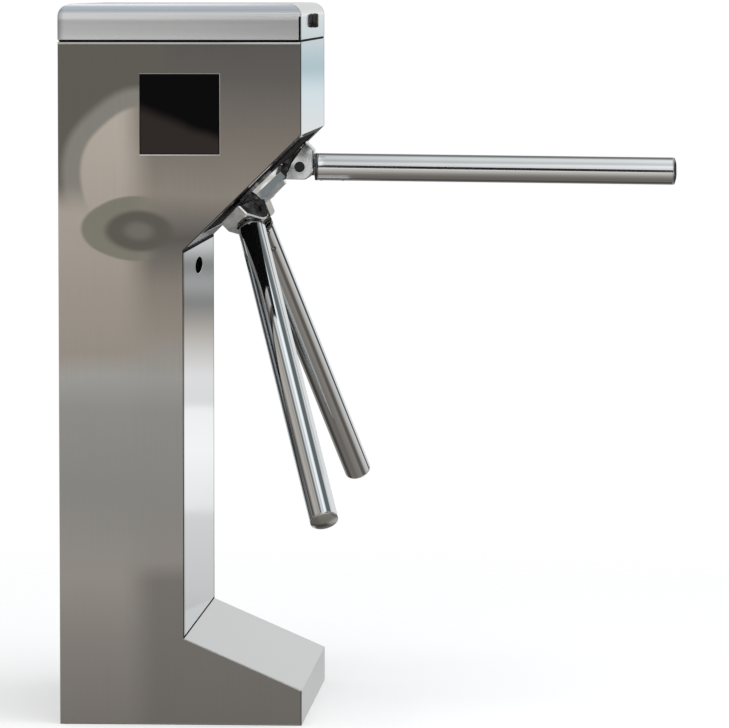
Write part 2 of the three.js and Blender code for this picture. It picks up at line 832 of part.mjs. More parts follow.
// The rear plate stands off the chassis and carries the pawls, solenoids and sensor
function rearPlate() {
  const length = rear.halfLength;
  const width = rear.halfWidth;
  const corners = roundedRectangle(-length, length, -width, width, rear.corner, 2);
  const plate = slab(corners, -rear.depth, rearFront, [circle(0, 0, rear.shaftRadius, sides.round)]);
  const leg = (x, y) => rod(standoff.radius, -rear.depth, housingFront, sides.small).translate(x, y, 0);
  const legs = [-standoff.x, standoff.x].flatMap((x) => [leg(x, -standoff.y), leg(x, standoff.y)]);
  const pivots = [-pawl.pivotY, pawl.pivotY].map((y) => {
    const pin = rod(pawl.pinRadius, -rear.depth, pawlFront + fit, sides.small);
    return pin.translate(-pawl.pivotX, y, 0);
  });
  return join(plate, ...legs, ...pivots);
}

const pawlFront = rearFront + fit + pawl.thickness;

// A lever across the slope: its nose swings in beside a lug when the plunger pushes its tail
function lockPawl() {
  const half = pawl.width / 2;
  const lever = [
    [half, pawl.tail],
    [-half, pawl.tail],
    ...arc(0, 0, pawl.boss, 135, 225),
    [-half, -pawl.nose],
    [half / 2, -pawl.nose],
    [half, half - pawl.nose],
    [half, 0],
  ];
  const eye = circle(0, 0, pawl.pinRadius + fit, sides.small);
  const z0 = pawlFront - pawl.thickness;
  return slab(lever, z0, pawlFront, [eye]).translate(-pawl.pivotX, pawl.pivotY, 0);
}

const plungerHeight = pawlFront - pawl.thickness / 2;

function solenoidBody() {
  const z0 = rearFront + fit;
  const half = solenoid.width / 2;
  const body = block(
    [solenoid.x, solenoid.x + solenoid.length],
    [solenoid.y - half, solenoid.y + half],
    [z0, z0 + solenoid.height],
  );
  const hole = toX(rod(solenoid.boreRadius, 0, solenoid.length - overrun, sides.small));
  return cut(body, hole.translate(solenoid.x - overrun, solenoid.y, plungerHeight));
}

function solenoidPlunger() {
  const tip = pawl.width / 2 - pawl.pivotX + plunger.tipGap;
  const tipEnd = tip + plunger.tipLength;
  return toX(turned([
    [0, tip],
    [plunger.tipRadius, tip],
    [plunger.tipRadius, tipEnd],
    [plunger.collarRadius, tipEnd],
    [plunger.collarRadius, tipEnd + plunger.collar],
    [plunger.radius, tipEnd + plunger.collar],
    [plunger.radius, solenoid.x + plunger.inside],
    [0, solenoid.x + plunger.inside],
  ], sides.small)).translate(0, solenoid.y, plungerHeight);
}

function encoderDisc() {
  const front = encoder.thickness - encoder.depth;
  const back = -encoder.depth - encoder.hub;
  const line = toothed(encoder.notches, encoder.radius - encoder.notchDepth, encoder.radius, notchShares);
  const disc = slab(line, -encoder.depth, front);
  const collar = rod(encoder.hubRadius, back, front);
  return cut(join(disc, collar), rod(bore, back - overrun, front + overrun));
}

// A small board with a light fork that the encoder disc runs through
function encoderBoard() {
  const z1 = -rear.depth - fit;
  const forkX = [encoder.radius - sensor.forkLength / 2, encoder.radius + sensor.forkLength / 2];
  const discMiddle = encoder.thickness / 2 - encoder.depth;
  const forkEnd = discMiddle - sensor.gap / 2 - sensor.wall;
  const plate = block(
    [sensor.x - sensor.length / 2, sensor.x + sensor.length / 2],
    [-sensor.width / 2, sensor.width / 2],
    [z1 - sensor.thickness, z1],
  );
  const halfFork = sensor.forkWidth / 2;
  const fork = block(forkX, [-halfFork, halfFork], [forkEnd, z1 - sensor.thickness / 2]);
  const slot = block(
    [forkX[0] - overrun, encoder.radius + sensor.gap],
    [-sensor.width, sensor.width],
    [discMiddle - sensor.gap / 2, discMiddle + sensor.gap / 2],
  );
  const relief = rod(rear.shaftRadius, forkEnd - overrun, z1 + overrun);
  return cut(join(plate, fork), slot, relief);
}

piece("hub_cover_plate", hubCoverPlate(), coatedBlack, slant);
piece("mechanism_plate", mechanismPlate(), steelZinc, slant);
pair("mechanism_rail", mechanismRail(), steelZinc);
piece("bearing_housing", bearingHousing(), castSilver, slant);
piece("outer_bearing", ballBearing(housingFront - bearing.land), steelPolished, slant);
piece("inner_bearing", ballBearing(lipBack - fit), steelPolished, slant);
piece("rotor_shaft", rotorShaft(), steelPolished, slant);
piece("rotor_gear", rotorGear(), steelZinc, slant);
piece("motor_pinion", motorPinion(), brass, slant);
piece("gear_motor", gearMotor(), steelDark, slant);
piece("lock_wheel", lockWheelBody(), steelZinc, slant);
piece("rear_plate", rearPlate(), steelZinc, slant);
pair("lock_pawl", lockPawl(), steelDark, slant);
pair("lock_solenoid", solenoidBody(), steelDark, slant);
pair("lock_plunger", solenoidPlunger(), steelPolished, slant);
piece("encoder_disc", encoderDisc(), plasticBlack, slant);
piece("encoder_board", encoderBoard(), boardGreen, slant);

// Hub: a tapered core with three forks, each cut from the same outline

// An arm's frame: X along the arm, Z to the side away from the rotor's axis, the pivot at its origin
function armMatrix(index) {
  const along = new THREE.Vector3(Math.sin(cone), 0, Math.cos(cone));
  const away = new THREE.Vector3(Math.cos(cone), 0, -Math.sin(cone));
  const frame = new THREE.Matrix4().makeBasis(along, towardNear, away);
  frame.setPosition(pivot.radius, 0, pivot.height);
  return new THREE.Matrix4().makeRotationZ((2 * Math.PI * index) / armCount).multiply(frame);
}

const armFrames = Array.from({ length: armCount }, (_, i) => armMatrix(i));

function hubCore() {
  const third = (2 * Math.PI) / armCount;
  const corner = (hub.flat - hub.forkFlat * Math.cos(third / 2)) / Math.sin(third / 2);
  const centre = new THREE.Vector2();
  const points = armFrames.flatMap((_, i) => {
    const ends = [-corner, corner].map((y) => new THREE.Vector2(hub.forkFlat, y));
    return ends.map((point) => point.rotateAround(centre, i * third));
  });
  const layer = (share, z) => points.map((p) => new THREE.Vector3(p.x * share, p.y * share, z));
  const between = (shareA, zA, shareB, zB) =>
    new ConvexGeometry([...layer(shareA, zA), ...layer(shareB, zB)]);
  return join(
    between(hubTaper.skirtShare, hub.base, 1, hub.skirtTop),
    between(1, hub.base, 1, hub.shoulder),
    between(1, hub.base, hubTaper.frontShare, hub.front),
  );
}

// The fork's cheeks: a flat stop for the raised arm, and a round heel that the arm folds past
function lugOutline() {
  const heelStart = -THREE.MathUtils.radToDeg(Math.asin(lugLine.sole / lug.stop));
  return [
    [lugLine.apex, lug.top],
    [-lugLine.kneeBack, lugLine.kneeUp],
    [-lug.heel, -lugLine.sole],
    ...arc(0, 0, lug.stop, heelStart, 0),
    [lug.stop, lugLine.shoulder],
  ];
}

// A bevelled plate centred on Y, from an outline in the arm's X and Z
function bevelledPlate(points, width, bevel) {
  const plate = new THREE.ExtrudeGeometry(outline(points), {
    depth: width - 2 * bevel,
    bevelThickness: bevel,
    bevelSize: bevel,
    bevelOffset: -bevel,
    bevelSegments: 1,
    steps: 1,
    curveSegments: 1,
  });
  return plate.translate(0, 0, bevel - width / 2).rotateX(Math.PI / 2);
}

// The web under the cheeks, in the fork's plane: X out from the rotor's axis, Z out of the face
function forkWeb() {
  const reach = pivot.radius + lug.stop;
  const web = [
    [0, hub.base],
    [reach, hub.base + lugLine.kneeUp / 2],
    [reach, pivot.height / 2],
    [pivot.radius, pivot.height],
    [hub.forkFlat / 2, hub.shoulder],
    [0, hub.shoulder],
  ];
  return alongY(web, -lug.webWidth / 2, lug.webWidth / 2);
}

function rotorHub() {
  const third = (2 * Math.PI) / armCount;
  const eye = root.eyeRadius + root.eyeClearance;
  const reach = lug.top + root.start;
  const slotLine = [
    [reach, eye],
    ...arc(0, 0, eye, 90, 180),
    [-eye, -reach],
    [reach, -reach],
  ];
  const slot = alongY(slotLine, -lug.slotWidth / 2, lug.slotWidth / 2);
  const pinHole = rod(pivot.pinRadius + fit, -lug.width, lug.width).rotateX(Math.PI / 2);
  const cheeks = bevelledPlate(lugOutline(), lug.width, lug.bevel);
  const forks = armFrames.map((frame, i) => join(moved(cheeks, frame), forkWeb().rotateZ(i * third)));
  const tools = armFrames.flatMap((frame) => [moved(slot, frame), moved(pinHole, frame)]);
  const recess = rod(hubCap.radius + fit, hub.front - hubCap.recess, hub.front + overrun);
  return cut(join(hubCore(), ...forks), ...tools, recess);
}

function hubCapDisc() {
  const z0 = hub.front - hubCap.recess + fit;
  return turned([
    [0, z0],
    [hubCap.radius, z0],
    [hubCap.radius, z0 + hubCap.thickness - hubCap.chamfer],
    [hubCap.radius - hubCap.chamfer, z0 + hubCap.thickness],
    [0, z0 + hubCap.thickness],
  ]);
}

piece("rotor_hub", rotorHub(), castSilver, slant);
piece("hub_cap", hubCapDisc(), castSilver, slant);

// Arms

function armPin() {
  const half = lug.width / 2 - pivot.pinRecess;
  return rod(pivot.pinRadius, -half, half).rotateX(Math.PI / 2);
}

// The casting that carries the tube: an eye in the fork, a collar, and a plug inside the tube
function armRoot() {
  const half = root.neck / 2;
  const eyeLine = [
    [root.start + root.collar / 2, half],
    ...arc(0, 0, root.eyeRadius, 45, 315, sides.round),
    [root.start + root.collar / 2, -half],
  ];
  const eye = alongY(eyeLine, -root.width / 2, root.width / 2);
  const tubeStart = root.start + root.collar + fit;
  const collar = toX(rod(tube.radius, root.start, root.start + root.collar, sides.fine));
  const plugRadius = tube.radius - tube.wall - fit;
  const plug = toX(rod(plugRadius, root.start + root.collar / 2, tubeStart + root.plug));
  const pinHole = rod(pivot.pinRadius + fit, -lug.width, lug.width).rotateX(Math.PI / 2);
  return cut(join(eye, collar, plug), pinHole);
}

function armTube() {
  const start = root.start + root.collar + fit;
  const end = start + tube.length;
  return toX(turned([
    [tube.radius - tube.wall, start],
    [tube.radius, start],
    [tube.radius, end],
    [tube.radius - tube.wall, end],
  ], sides.fine));
}

function armEndCap() {
  const seat = root.start + root.collar + fit + tube.length;
  const plugRadius = tube.radius - tube.wall - fit;
  const face = seat + fit;
  const crown = face + endCap.rim + endCap.dome;
  return toX(turned([
    [0, face],
    [plugRadius - endCap.plugWall, face],
    [plugRadius - endCap.plugWall, seat - endCap.plug],
    [plugRadius, seat - endCap.plug],
    [plugRadius, face],
    [tube.radius, face],
    ...endCap.domeShares.map((share) => [share * tube.radius, crown - endCap.dome * share ** 2]),
  ], sides.fine));
}

armFrames.forEach((frame, i) => {
  const arm = new THREE.Group();
  arm.applyMatrix4(frame);
  slant.add(arm);
  const name = "arm_" + (i + 1);
  piece(name + "_pin", armPin(), steelDark, arm);
  piece(name + "_root", armRoot(), castSilver, arm);
  piece(name + "_tube", armTube(), chrome, arm);
  piece(name + "_end_cap", armEndCap(), steelPolished, arm);
});

// Electronics

function controlBoard() {
  const x0 = left + sheet + fit;
  const x1 = x0 + board.standoff;
  const halfW = board.width / 2;
  const halfH = board.height / 2;
  const plate = block([x1, x1 + board.thickness], [-halfW, halfW], [-halfH, halfH]);
  const top = x1 + board.thickness / 2;
  const legY = halfW - board.legInset;
  const legZ = halfH - board.legInset;
  const leg = (y, z) => toX(rod(board.legRadius, x0, top, sides.small)).translate(0, y, z);
  const legs = [-legY, legY].flatMap((y) => [leg(y, -legZ), leg(y, legZ)]);
  const part = (y, z, wide, high, deep) =>
    block([top, top + deep], [y - wide / 2, y + wide / 2], [z - high / 2, z + high / 2]);
  const processor = part(-halfW / 3, halfH / 4, chip.side, chip.side, chip.height);
  const relay = (y) => part(y, -halfH / 3, chip.relayWidth, chip.relayLength, chip.relayHeight);
  const relays = [relay(-halfW / 2), relay(0), relay(halfW / 2)];
  const terminal = (z) => part(0, z, chip.terminalLength, chip.terminal, chip.terminalHeight);
  const terminals = [terminal(chip.terminal - halfH), terminal(halfH - chip.terminal)];
  return join(plate, ...legs, processor, ...relays, ...terminals).translate(0, board.y, board.z);
}

function powerSupply() {
  const x0 = left + sheet + fit;
  const halfW = supply.width / 2;
  const halfH = supply.height / 2;
  const body = block([x0, x0 + supply.depth], [-halfW, halfW], [-halfH, halfH]);
  const pitchZ = supply.height / (supply.vents + 1);
  const vents = Array.from({ length: supply.vents }, (_, i) => {
    const z = (i + 1) * pitchZ - halfH;
    return block(
      [x0 + supply.depth - supply.ventDepth, x0 + supply.depth + overrun],
      [-halfW / 2, halfW / 2],
      [z - supply.ventWidth / 2, z + supply.ventWidth / 2],
    );
  });
  return cut(body, ...vents).translate(0, supply.y, supply.z);
}

piece("control_board", controlBoard(), boardGreen);
piece("power_supply", powerSupply(), steelZinc);

export default turnstile;
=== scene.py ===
# %% [markdown]
# # A tripod turnstile in stainless steel
# A waist-high turnstile is a folded sheet-metal pedestal with a slanted face, and on that face a cast hub turns
# with three drop arms. The CAD frame already holds every solid at its real size, so this notebook adds what CAD
# leaves plain: rounded edges, brushed and polished finishes, screws, and the studio it is photographed in.

# %% Load the frame
import json
import math

import bmesh
import bpy
from mathutils import Matrix, Vector


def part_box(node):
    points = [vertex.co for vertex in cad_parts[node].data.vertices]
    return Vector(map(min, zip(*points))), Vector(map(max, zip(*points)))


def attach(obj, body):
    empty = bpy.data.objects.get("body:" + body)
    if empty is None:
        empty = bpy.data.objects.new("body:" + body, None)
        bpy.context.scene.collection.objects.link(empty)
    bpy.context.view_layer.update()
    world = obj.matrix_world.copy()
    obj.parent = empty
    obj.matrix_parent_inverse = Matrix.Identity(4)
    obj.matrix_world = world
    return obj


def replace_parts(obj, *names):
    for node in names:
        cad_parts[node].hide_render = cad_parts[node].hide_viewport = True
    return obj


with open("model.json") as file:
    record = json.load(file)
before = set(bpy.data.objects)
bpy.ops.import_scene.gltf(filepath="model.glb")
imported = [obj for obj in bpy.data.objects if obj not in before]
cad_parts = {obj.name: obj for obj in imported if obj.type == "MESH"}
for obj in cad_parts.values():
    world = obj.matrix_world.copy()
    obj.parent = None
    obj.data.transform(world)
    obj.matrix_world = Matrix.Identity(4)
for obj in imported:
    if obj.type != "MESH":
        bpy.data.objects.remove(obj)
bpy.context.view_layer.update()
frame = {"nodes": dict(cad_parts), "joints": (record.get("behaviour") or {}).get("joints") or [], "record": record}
cad = frame["nodes"]
body_of_node = {node: body for body, members in frame["record"]["behaviour"]["bodies"].items() for node in members}
joints = {joint["name"]: joint for joint in frame["joints"]}

# %% [markdown]
# ## Helpers for nodes, objects and meshes
# Shaders and Geometry Nodes are both trees of nodes. One small helper adds a node, sets its options, and fills
# each input with a number or with a link from another node's output. The others take up steps that come back.


# %% Small helpers
def add(tree, kind, inputs=None, **options):
    node = tree.nodes.new(kind)
    for name, value in options.items():
        setattr(node, name, value)
    for name, value in (inputs or {}).items():
        if isinstance(value, bpy.types.NodeSocket):
            tree.links.new(value, node.inputs[name])
        else:
            node.inputs[name].default_value = value
    return node


def calculate(tree, operation, *values):
    return add(tree, "ShaderNodeMath", dict(enumerate(values)), operation=operation).outputs[0]


def vector_math(tree, operation, inputs):
    return add(tree, "ShaderNodeVectorMath", inputs, operation=operation).outputs["Vector"]


def new_material(name):
    material = bpy.data.materials.new(name)
    material.use_nodes = True
    material.node_tree.nodes.clear()
    return material, material.node_tree


def position(tree):
    return add(tree, "ShaderNodeTexCoord").outputs["Object"]


def axes_of(tree, vector):
    return add(tree, "ShaderNodeSeparateXYZ", {0: vector}).outputs


def new_object(name, data):
    thing = bpy.data.objects.new(name, data)
    bpy.context.scene.collection.objects.link(thing)
    return thing


def mesh_from(shape, name):
    """Turns an edited shape into a mesh."""
    mesh = bpy.data.meshes.new(name)
    shape.to_mesh(mesh)
    shape.free()
    return mesh


print("small helpers ready")

# %% [markdown]
# ## The camera
# The reference view looks almost straight at the near side from seven metres, with a long lens, so that parallel
# edges stay parallel. A long lens is a narrow angle: 264 mm on a sensor 36 mm wide. The camera is aimed by a
# direction instead of being shifted, because a shifted lens would push the object off centre in every other view.

# %% Camera
MM = 0.001
camera_data = bpy.data.cameras.new("studio_camera")
camera_data.sensor_width = 36
camera_data.lens = 263.7
camera = new_object("studio_camera", camera_data)
camera.location = (0.6714, -7.435, 1.0146)
turn_left, tip_down = math.radians(3.3456), math.radians(4.133)
aim = Vector((-math.sin(turn_left) * math.cos(tip_down), math.cos(turn_left) * math.cos(tip_down), -math.sin(tip_down)))
camera.rotation_mode = "QUATERNION"
camera.rotation_quaternion = aim.to_track_quat("-Z", "Y")
camera_data.clip_end = 60
bpy.context.scene.camera = camera
bpy.context.scene.view_settings.view_transform = "Standard"
print("camera", round(camera.location.length, 2), "m from the origin")

# %% [markdown]
# ## The studio
# Metal shows what stands around it. A photographer hangs a white tent round it and adds dark cards, so that a
# tube gets bright bands, dark lines and a warm lower half. Here a great dome does this job: only reflections see
# it, and its colour depends on direction alone. The world gives plain, even light and a white background.

# %% World and lamps
world = bpy.data.worlds.new("studio_air")
world.use_nodes = True
tree = world.node_tree
tree.nodes.clear()
rays = add(tree, "ShaderNodeLightPath")
seen = calculate(tree, "MAXIMUM", rays.outputs["Is Camera Ray"], rays.outputs["Is Glossy Ray"])
seen = calculate(tree, "MAXIMUM", seen, rays.outputs["Is Transmission Ray"])
fill = add(tree, "ShaderNodeBackground", {"Color": (0.97, 0.985, 1.0, 1), "Strength": 0.62})
white = add(tree, "ShaderNodeBackground", {"Color": (1, 1, 1, 1), "Strength": 1.0})
sky = add(tree, "ShaderNodeMixShader", {0: seen, 1: fill.outputs[0], 2: white.outputs[0]})
add(tree, "ShaderNodeOutputWorld", {"Surface": sky.outputs[0]})
bpy.context.scene.world = world


def softbox(name, place, target, width, height, watts):
    """A soft lamp that lights the object without showing in its reflections."""
    lamp = bpy.data.lights.new(name, "AREA")
    lamp.shape = "RECTANGLE"
    lamp.size, lamp.size_y, lamp.energy = width, height, watts
    box = new_object(name, lamp)
    box.location = place
    box.rotation_mode = "QUATERNION"
    box.rotation_quaternion = (Vector(target) - Vector(place)).to_track_quat("-Z", "Y")
    box.visible_glossy = False


pedestal_middle = (0.1, 0, 0.6)
softbox("top_softbox", (0.3, -0.9, 3.2), pedestal_middle, width=2.4, height=1.8, watts=26)
softbox("right_softbox", (3.2, -0.4, 1.6), pedestal_middle, width=1.6, height=2.2, watts=12)
print("studio lamps ready")

# %% [markdown]
# The dome and the finishes are built from the same few steps: a ramp of colours, a soft step, a blend, a product of
# masks, and noise. A warm tint stands for the studio's ground, a cool one for its sky.

# %% Colour helpers
NEUTRAL, WARM, COOL, CYAN, FAINT = (1, 1, 1), (1, 0.93, 0.85), (0.84, 0.96, 1), (0.72, 0.93, 1), (0.94, 0.985, 1)


def ramp(tree, value, stops, low=-1.0, high=1.0):
    """A colour ramp over a value; each stop is a value, a brightness and sometimes a tint."""
    share = add(tree, "ShaderNodeMapRange", {0: value, 1: low, 2: high}).outputs[0]
    node = add(tree, "ShaderNodeValToRGB", {0: share})
    places = node.color_ramp.elements
    while len(places) < len(stops):
        places.new(0.5)
    for place, (at, level, *tint) in zip(places, stops):
        place.position = (at - low) / (high - low)
        place.color = (*(level * part for part in (tint[0] if tint else NEUTRAL)), 1)
    return node.outputs["Color"]


def step(tree, value, start, end, low=0.0, high=1.0):
    """A soft step from low to high while the value goes from start to end."""
    values = {0: value, 1: start, 2: end, 3: low, 4: high}
    return add(tree, "ShaderNodeMapRange", values, interpolation_type="SMOOTHSTEP").outputs[0]


def blend(tree, share, below, above):
    """The first colour where the share is 0, the second where it is 1."""
    return add(tree, "ShaderNodeMix", {0: share, 6: below, 7: above}, data_type="RGBA").outputs[2]


def all_of(tree, *shares):
    """The product of several masks."""
    whole = shares[0]
    for share in shares[1:]:
        whole = calculate(tree, "MULTIPLY", whole, share)
    return whole


def scaled(tree, color, share):
    return vector_math(tree, "SCALE", {0: color, "Scale": share})


def darkened(tree, color, mask, share):
    """A colour that loses this share of its brightness where the mask is 1."""
    return scaled(tree, color, calculate(tree, "MULTIPLY_ADD", mask, -share, 1.0))


def product(tree, color, other):
    return vector_math(tree, "MULTIPLY", {0: color, 1: other})


def noise(tree, place, scale, detail, output=0):
    return add(tree, "ShaderNodeTexNoise", {"Vector": place, "Scale": scale, "Detail": detail}).outputs[output]


def around_zero(tree, value, depth):
    """Noise lies around a half; this centres it on 0 and gives it a depth."""
    return calculate(tree, "MULTIPLY", calculate(tree, "SUBTRACT", value, 0.5), depth)


print("colour helpers ready")

# %% [markdown]
# The dome's colour depends on where a reflection points: one ramp over height for the half behind the camera, one
# for the half behind the object, and two from left to right, above and below the level. A level tube reflects only
# the middle, so the first ramp gives it its bands. A hanging one sweeps from left to right and gets its stripes
# from the third.

# %% Ramps for the dome
dome_material, tree = new_material("reflection_dome")
direction = vector_math(tree, "NORMALIZE", {0: position(tree)})
axes = axes_of(tree, direction)
front = ramp(tree, axes["Z"], [
    (-1, 0.14, WARM), (-0.88, 0.19, WARM), (-0.71, 0.27, WARM), (-0.45, 0.46, WARM), (-0.3, 0.52, WARM),
    (-0.2, 0.58), (-0.16, 0.7), (0.08, 0.72), (0.12, 0.75), (0.39, 0.78), (0.5, 0.86), (0.62, 0.92), (0.75, 0.72),
    (0.86, 0.6, FAINT), (0.93, 0.72, FAINT), (1, 0.84, FAINT),
])
sweep = ramp(tree, axes["X"], [
    (-1, 0.05), (-0.94, 0.08), (-0.91, 0.17), (-0.88, 0.32), (-0.83, 0.52, WARM), (-0.63, 0.57, WARM),
    (-0.54, 0.56, WARM), (-0.46, 0.8, WARM), (-0.38, 0.28), (-0.27, 0.28), (-0.2, 0.8), (-0.15, 1.2), (-0.1, 1.0),
    (-0.055, 0.76), (-0.02, 0.9), (0.04, 1.02), (0.1, 1.4), (0.2, 1.4), (0.3, 1.1), (0.34, 0.3, COOL),
    (0.41, 0.22, COOL), (0.54, 0.28, COOL), (0.6, 0.15, COOL), (0.64, 0.5), (0.7, 0.8), (0.8, 0.3), (0.86, 0.42),
    (1, 0.3),
])
low_sweep = ramp(tree, axes["X"], [
    (-1, 0.45), (-0.75, 0.8), (-0.5, 0.9), (-0.3, 1), (0, 1.1), (0.12, 1.4), (0.5, 1.2), (0.7, 1), (1, 0.9),
])
back = ramp(tree, axes["Z"], [
    (-1, 0.05, WARM), (-0.85, 0.07, WARM), (-0.7, 0.15, WARM), (-0.5, 0.22, WARM), (-0.2, 0.4), (-0.14, 0.5),
    (0.06, 0.85), (0.12, 0.7), (0.25, 0.7), (0.42, 0.2), (0.85, 0.2), (0.95, 0.5), (1, 0.75),
])
print("four ramps ready")

# %% [markdown]
# The upright polished faces are seen almost edge-on, so all that they mirror is a strip of the far wall a few
# degrees high. Their bands need a ramp of their own over that strip, because one ramp holds only 256 steps.
# Noise bends its height a little, as the sheet's own waves would.

# %% Strip behind the object
wave = add(tree, "ShaderNodeMapping", {"Vector": direction, "Scale": (260, 1, 60)}).outputs[0]
bend = step(tree, noise(tree, wave, 1.0, 1.0), 0.2, 0.8, -0.002, 0.002)
strip_height = calculate(tree, "ADD", axes["Z"], bend)
strip = ramp(tree, strip_height, [
    (-0.14, 0.62), (-0.128, 0.58), (-0.116, 0.47), (-0.105, 0.58), (-0.0832, 0.68), (-0.0824, 0.84), (-0.066, 0.97),
    (-0.0548, 0.93), (-0.054, 0.74), (-0.045, 0.78), (-0.033, 0.45, WARM), (-0.025, 0.22), (-0.02, 0.38),
    (-0.015, 0.22), (-0.01, 0.6), (0.02, 0.78), (0.033, 0.8, COOL), (0.039, 0.6, CYAN), (0.046, 0.68, COOL),
    (0.06, 0.85),
], -0.14, 0.06)
back = blend(tree, calculate(tree, "COMPARE", axes["Z"], -0.04, 0.1), back, strip)
print("strip ready")

# %% [markdown]
# In front, the sweep with its dark stripes counts above the level, and the plainer one below it. A small dark patch
# in the middle draws one thin line along the level tube.


# %% Front half
def along(axis):
    """Makes a soft step over one direction of the dome."""
    return lambda start, end, low=0.0, high=1.0: step(tree, axes[axis], start, end, low, high)


rightward, rearward, upward = along("X"), along("Y"), along("Z")
in_front = product(tree, front, blend(tree, upward(-0.1, 0.12), low_sweep, sweep))
tilted = calculate(tree, "ADD", axes["X"], axes["Z"])
line = all_of(tree, calculate(tree, "COMPARE", tilted, 0.09, 0.18), rightward(-0.068, -0.058), rightward(0.06, 0.05))
in_front = darkened(tree, in_front, line, 0.97)
print("front half ready")

# %% [markdown]
# At the back, the left is dark near the level and a tall white card stands on the right. This puts a dark left
# edge and a light right edge on the hanging arms. A white patch stands higher up, left of the middle, and just
# below the level the dark is darker still.

# %% Back half
over_lid = all_of(tree, upward(0.2, 0.4), rightward(-0.05, -0.07), rightward(-0.3, -0.2))
back = blend(tree, over_lid, back, (0.95, 0.98, 1, 1))
under_slant = all_of(tree, upward(0.02, -0.02), upward(-0.11, -0.08), rightward(0.07, 0.05))
open_left = calculate(tree, "MAXIMUM", rightward(-0.74, -0.84, 0.0, 0.8), upward(0.09, 0.2))
left_light = calculate(tree, "MAXIMUM", rightward(-0.25, -0.06, 0.07), open_left)
left_light = all_of(tree, left_light, calculate(tree, "MULTIPLY_ADD", under_slant, -0.8, 1.0))
behind = blend(tree, upward(-0.15, -0.3), scaled(tree, back, left_light), back)
card = all_of(tree, rightward(0.2, 0.45), upward(-0.05, 0.1, 0.5, 1.0))
behind = blend(tree, card, behind, (0.8, 0.82, 0.82, 1))
print("back half ready")

# %% [markdown]
# The halves meet at the sides. There the dome is dark just above and below the level, which draws a dark line on
# upright edges, and dark low down, which shades the hub from below. One small bright patch lights the hub's facet
# that looks to the right.

# %% Sides of the dome
whole = blend(tree, rearward(0.15, 0.45), in_front, behind)
level = upward(0.24, 0.14)
both_sides = calculate(tree, "MAXIMUM", rightward(0.2, 0.3), rightward(-0.4, -0.55))
near_dark = all_of(tree, level, both_sides, upward(-0.14, -0.1), rearward(0.45, 0.3), rearward(-0.35, -0.15))
far_dark = all_of(tree, level, rightward(0.55, 0.68), upward(-0.13, -0.08))
right_dark = all_of(tree, rightward(0.68, 0.78), upward(-0.1, 0.0), upward(0.6, 0.45), rearward(0.4, 0.28),
                    rearward(-0.42, -0.3))
darkest = calculate(tree, "MAXIMUM", calculate(tree, "MAXIMUM", near_dark, far_dark), right_dark)
whole = darkened(tree, whole, darkest, 0.92)
left_low = all_of(tree, rightward(-0.4, -0.66), upward(-0.4, -0.55))
right_low = all_of(tree, rightward(0.55, 0.75), upward(-0.4, -0.55))
whole = darkened(tree, darkened(tree, whole, left_low, 0.93), right_low, 0.65)
glint = all_of(tree, rightward(0.925, 0.945), rearward(0.15, 0.12), rearward(-0.1, -0.05), upward(-0.35, -0.31),
               upward(-0.2, -0.24))
whole = blend(tree, glint, whole, (1, 1, 1, 1))
glow = add(tree, "ShaderNodeEmission", {"Color": whole})
add(tree, "ShaderNodeOutputMaterial", {"Surface": glow.outputs[0]})
dome_material.cycles.emission_sampling = "NONE"
print("dome colour of", len(tree.nodes), "nodes")

# %% [markdown]
# The dome is an icosphere 16 m in radius. Only reflections see it: it lights nothing and throws no shadow.

# %% Dome mesh
shape = bmesh.new()
bmesh.ops.create_icosphere(shape, subdivisions=4, radius=16)
dome_mesh = mesh_from(shape, "reflection_dome")
dome_mesh.materials.append(dome_material)
dome = new_object("reflection_dome", dome_mesh)
for kind in ("camera", "diffuse", "transmission", "shadow", "volume_scatter"):
    setattr(dome, "visible_" + kind, False)
print("dome of", len(dome_mesh.polygons), "faces")

# %% [markdown]
# The floor is a pale disc that takes the object's soft shadow. A little glow of its own lifts it to the white of
# the background, and it turns clear towards its rim, so that no edge shows from any side.

# %% Floor
floor_material, tree = new_material("pale_floor")
distance = add(tree, "ShaderNodeVectorMath", {0: position(tree)}, operation="LENGTH").outputs["Value"]
clear = step(tree, distance, 0.7, 2.2)
matte = add(tree, "ShaderNodeBsdfDiffuse", {"Color": (0.93, 0.93, 0.93, 1)})
lift = add(tree, "ShaderNodeEmission", {"Strength": 0.28})
pale = add(tree, "ShaderNodeAddShader", {0: matte.outputs[0], 1: lift.outputs[0]})
through = add(tree, "ShaderNodeBsdfTransparent")
cover = add(tree, "ShaderNodeMixShader", {0: clear, 1: pale.outputs[0], 2: through.outputs[0]})
add(tree, "ShaderNodeOutputMaterial", {"Surface": cover.outputs[0]})
shape = bmesh.new()
under_base = Matrix.Translation((0, 0, -0.4 * MM))
bmesh.ops.create_circle(shape, cap_ends=True, radius=2.4, segments=96, matrix=under_base)
floor_mesh = mesh_from(shape, "pale_floor")
floor_mesh.materials.append(floor_material)
floor = new_object("pale_floor", floor_mesh)
floor.visible_glossy = False
print("floor ready")

# %% [markdown]
# ## Brushed grain
# Brushed steel is sheet that a belt has scratched in one direction. Noise stretched along that direction gives
# the scratches, and a broad second noise gives the faint clouds that any large sheet has. Both belong to several
# finishes, so they live in one shader group whose inputs say how strong and how fine they are.

# %% Shader group for the grain
SMOOTHEST = 0.03


def new_group(name, inputs):
    """A shader group that gives a colour, a roughness and a height."""
    group = bpy.data.node_groups.new(name, "ShaderNodeTree")
    for label, kind, value in [("Color", "Color", (0.5, 0.5, 0.5, 1)), ("Roughness", "Float", 0.3), *inputs]:
        socket = group.interface.new_socket(label, in_out="INPUT", socket_type="NodeSocket" + kind)
        socket.default_value = value
    for label, kind in (("Color", "Color"), ("Roughness", "Float"), ("Height", "Float")):
        group.interface.new_socket(label, in_out="OUTPUT", socket_type="NodeSocket" + kind)
    return group, add(group, "NodeGroupInput").outputs


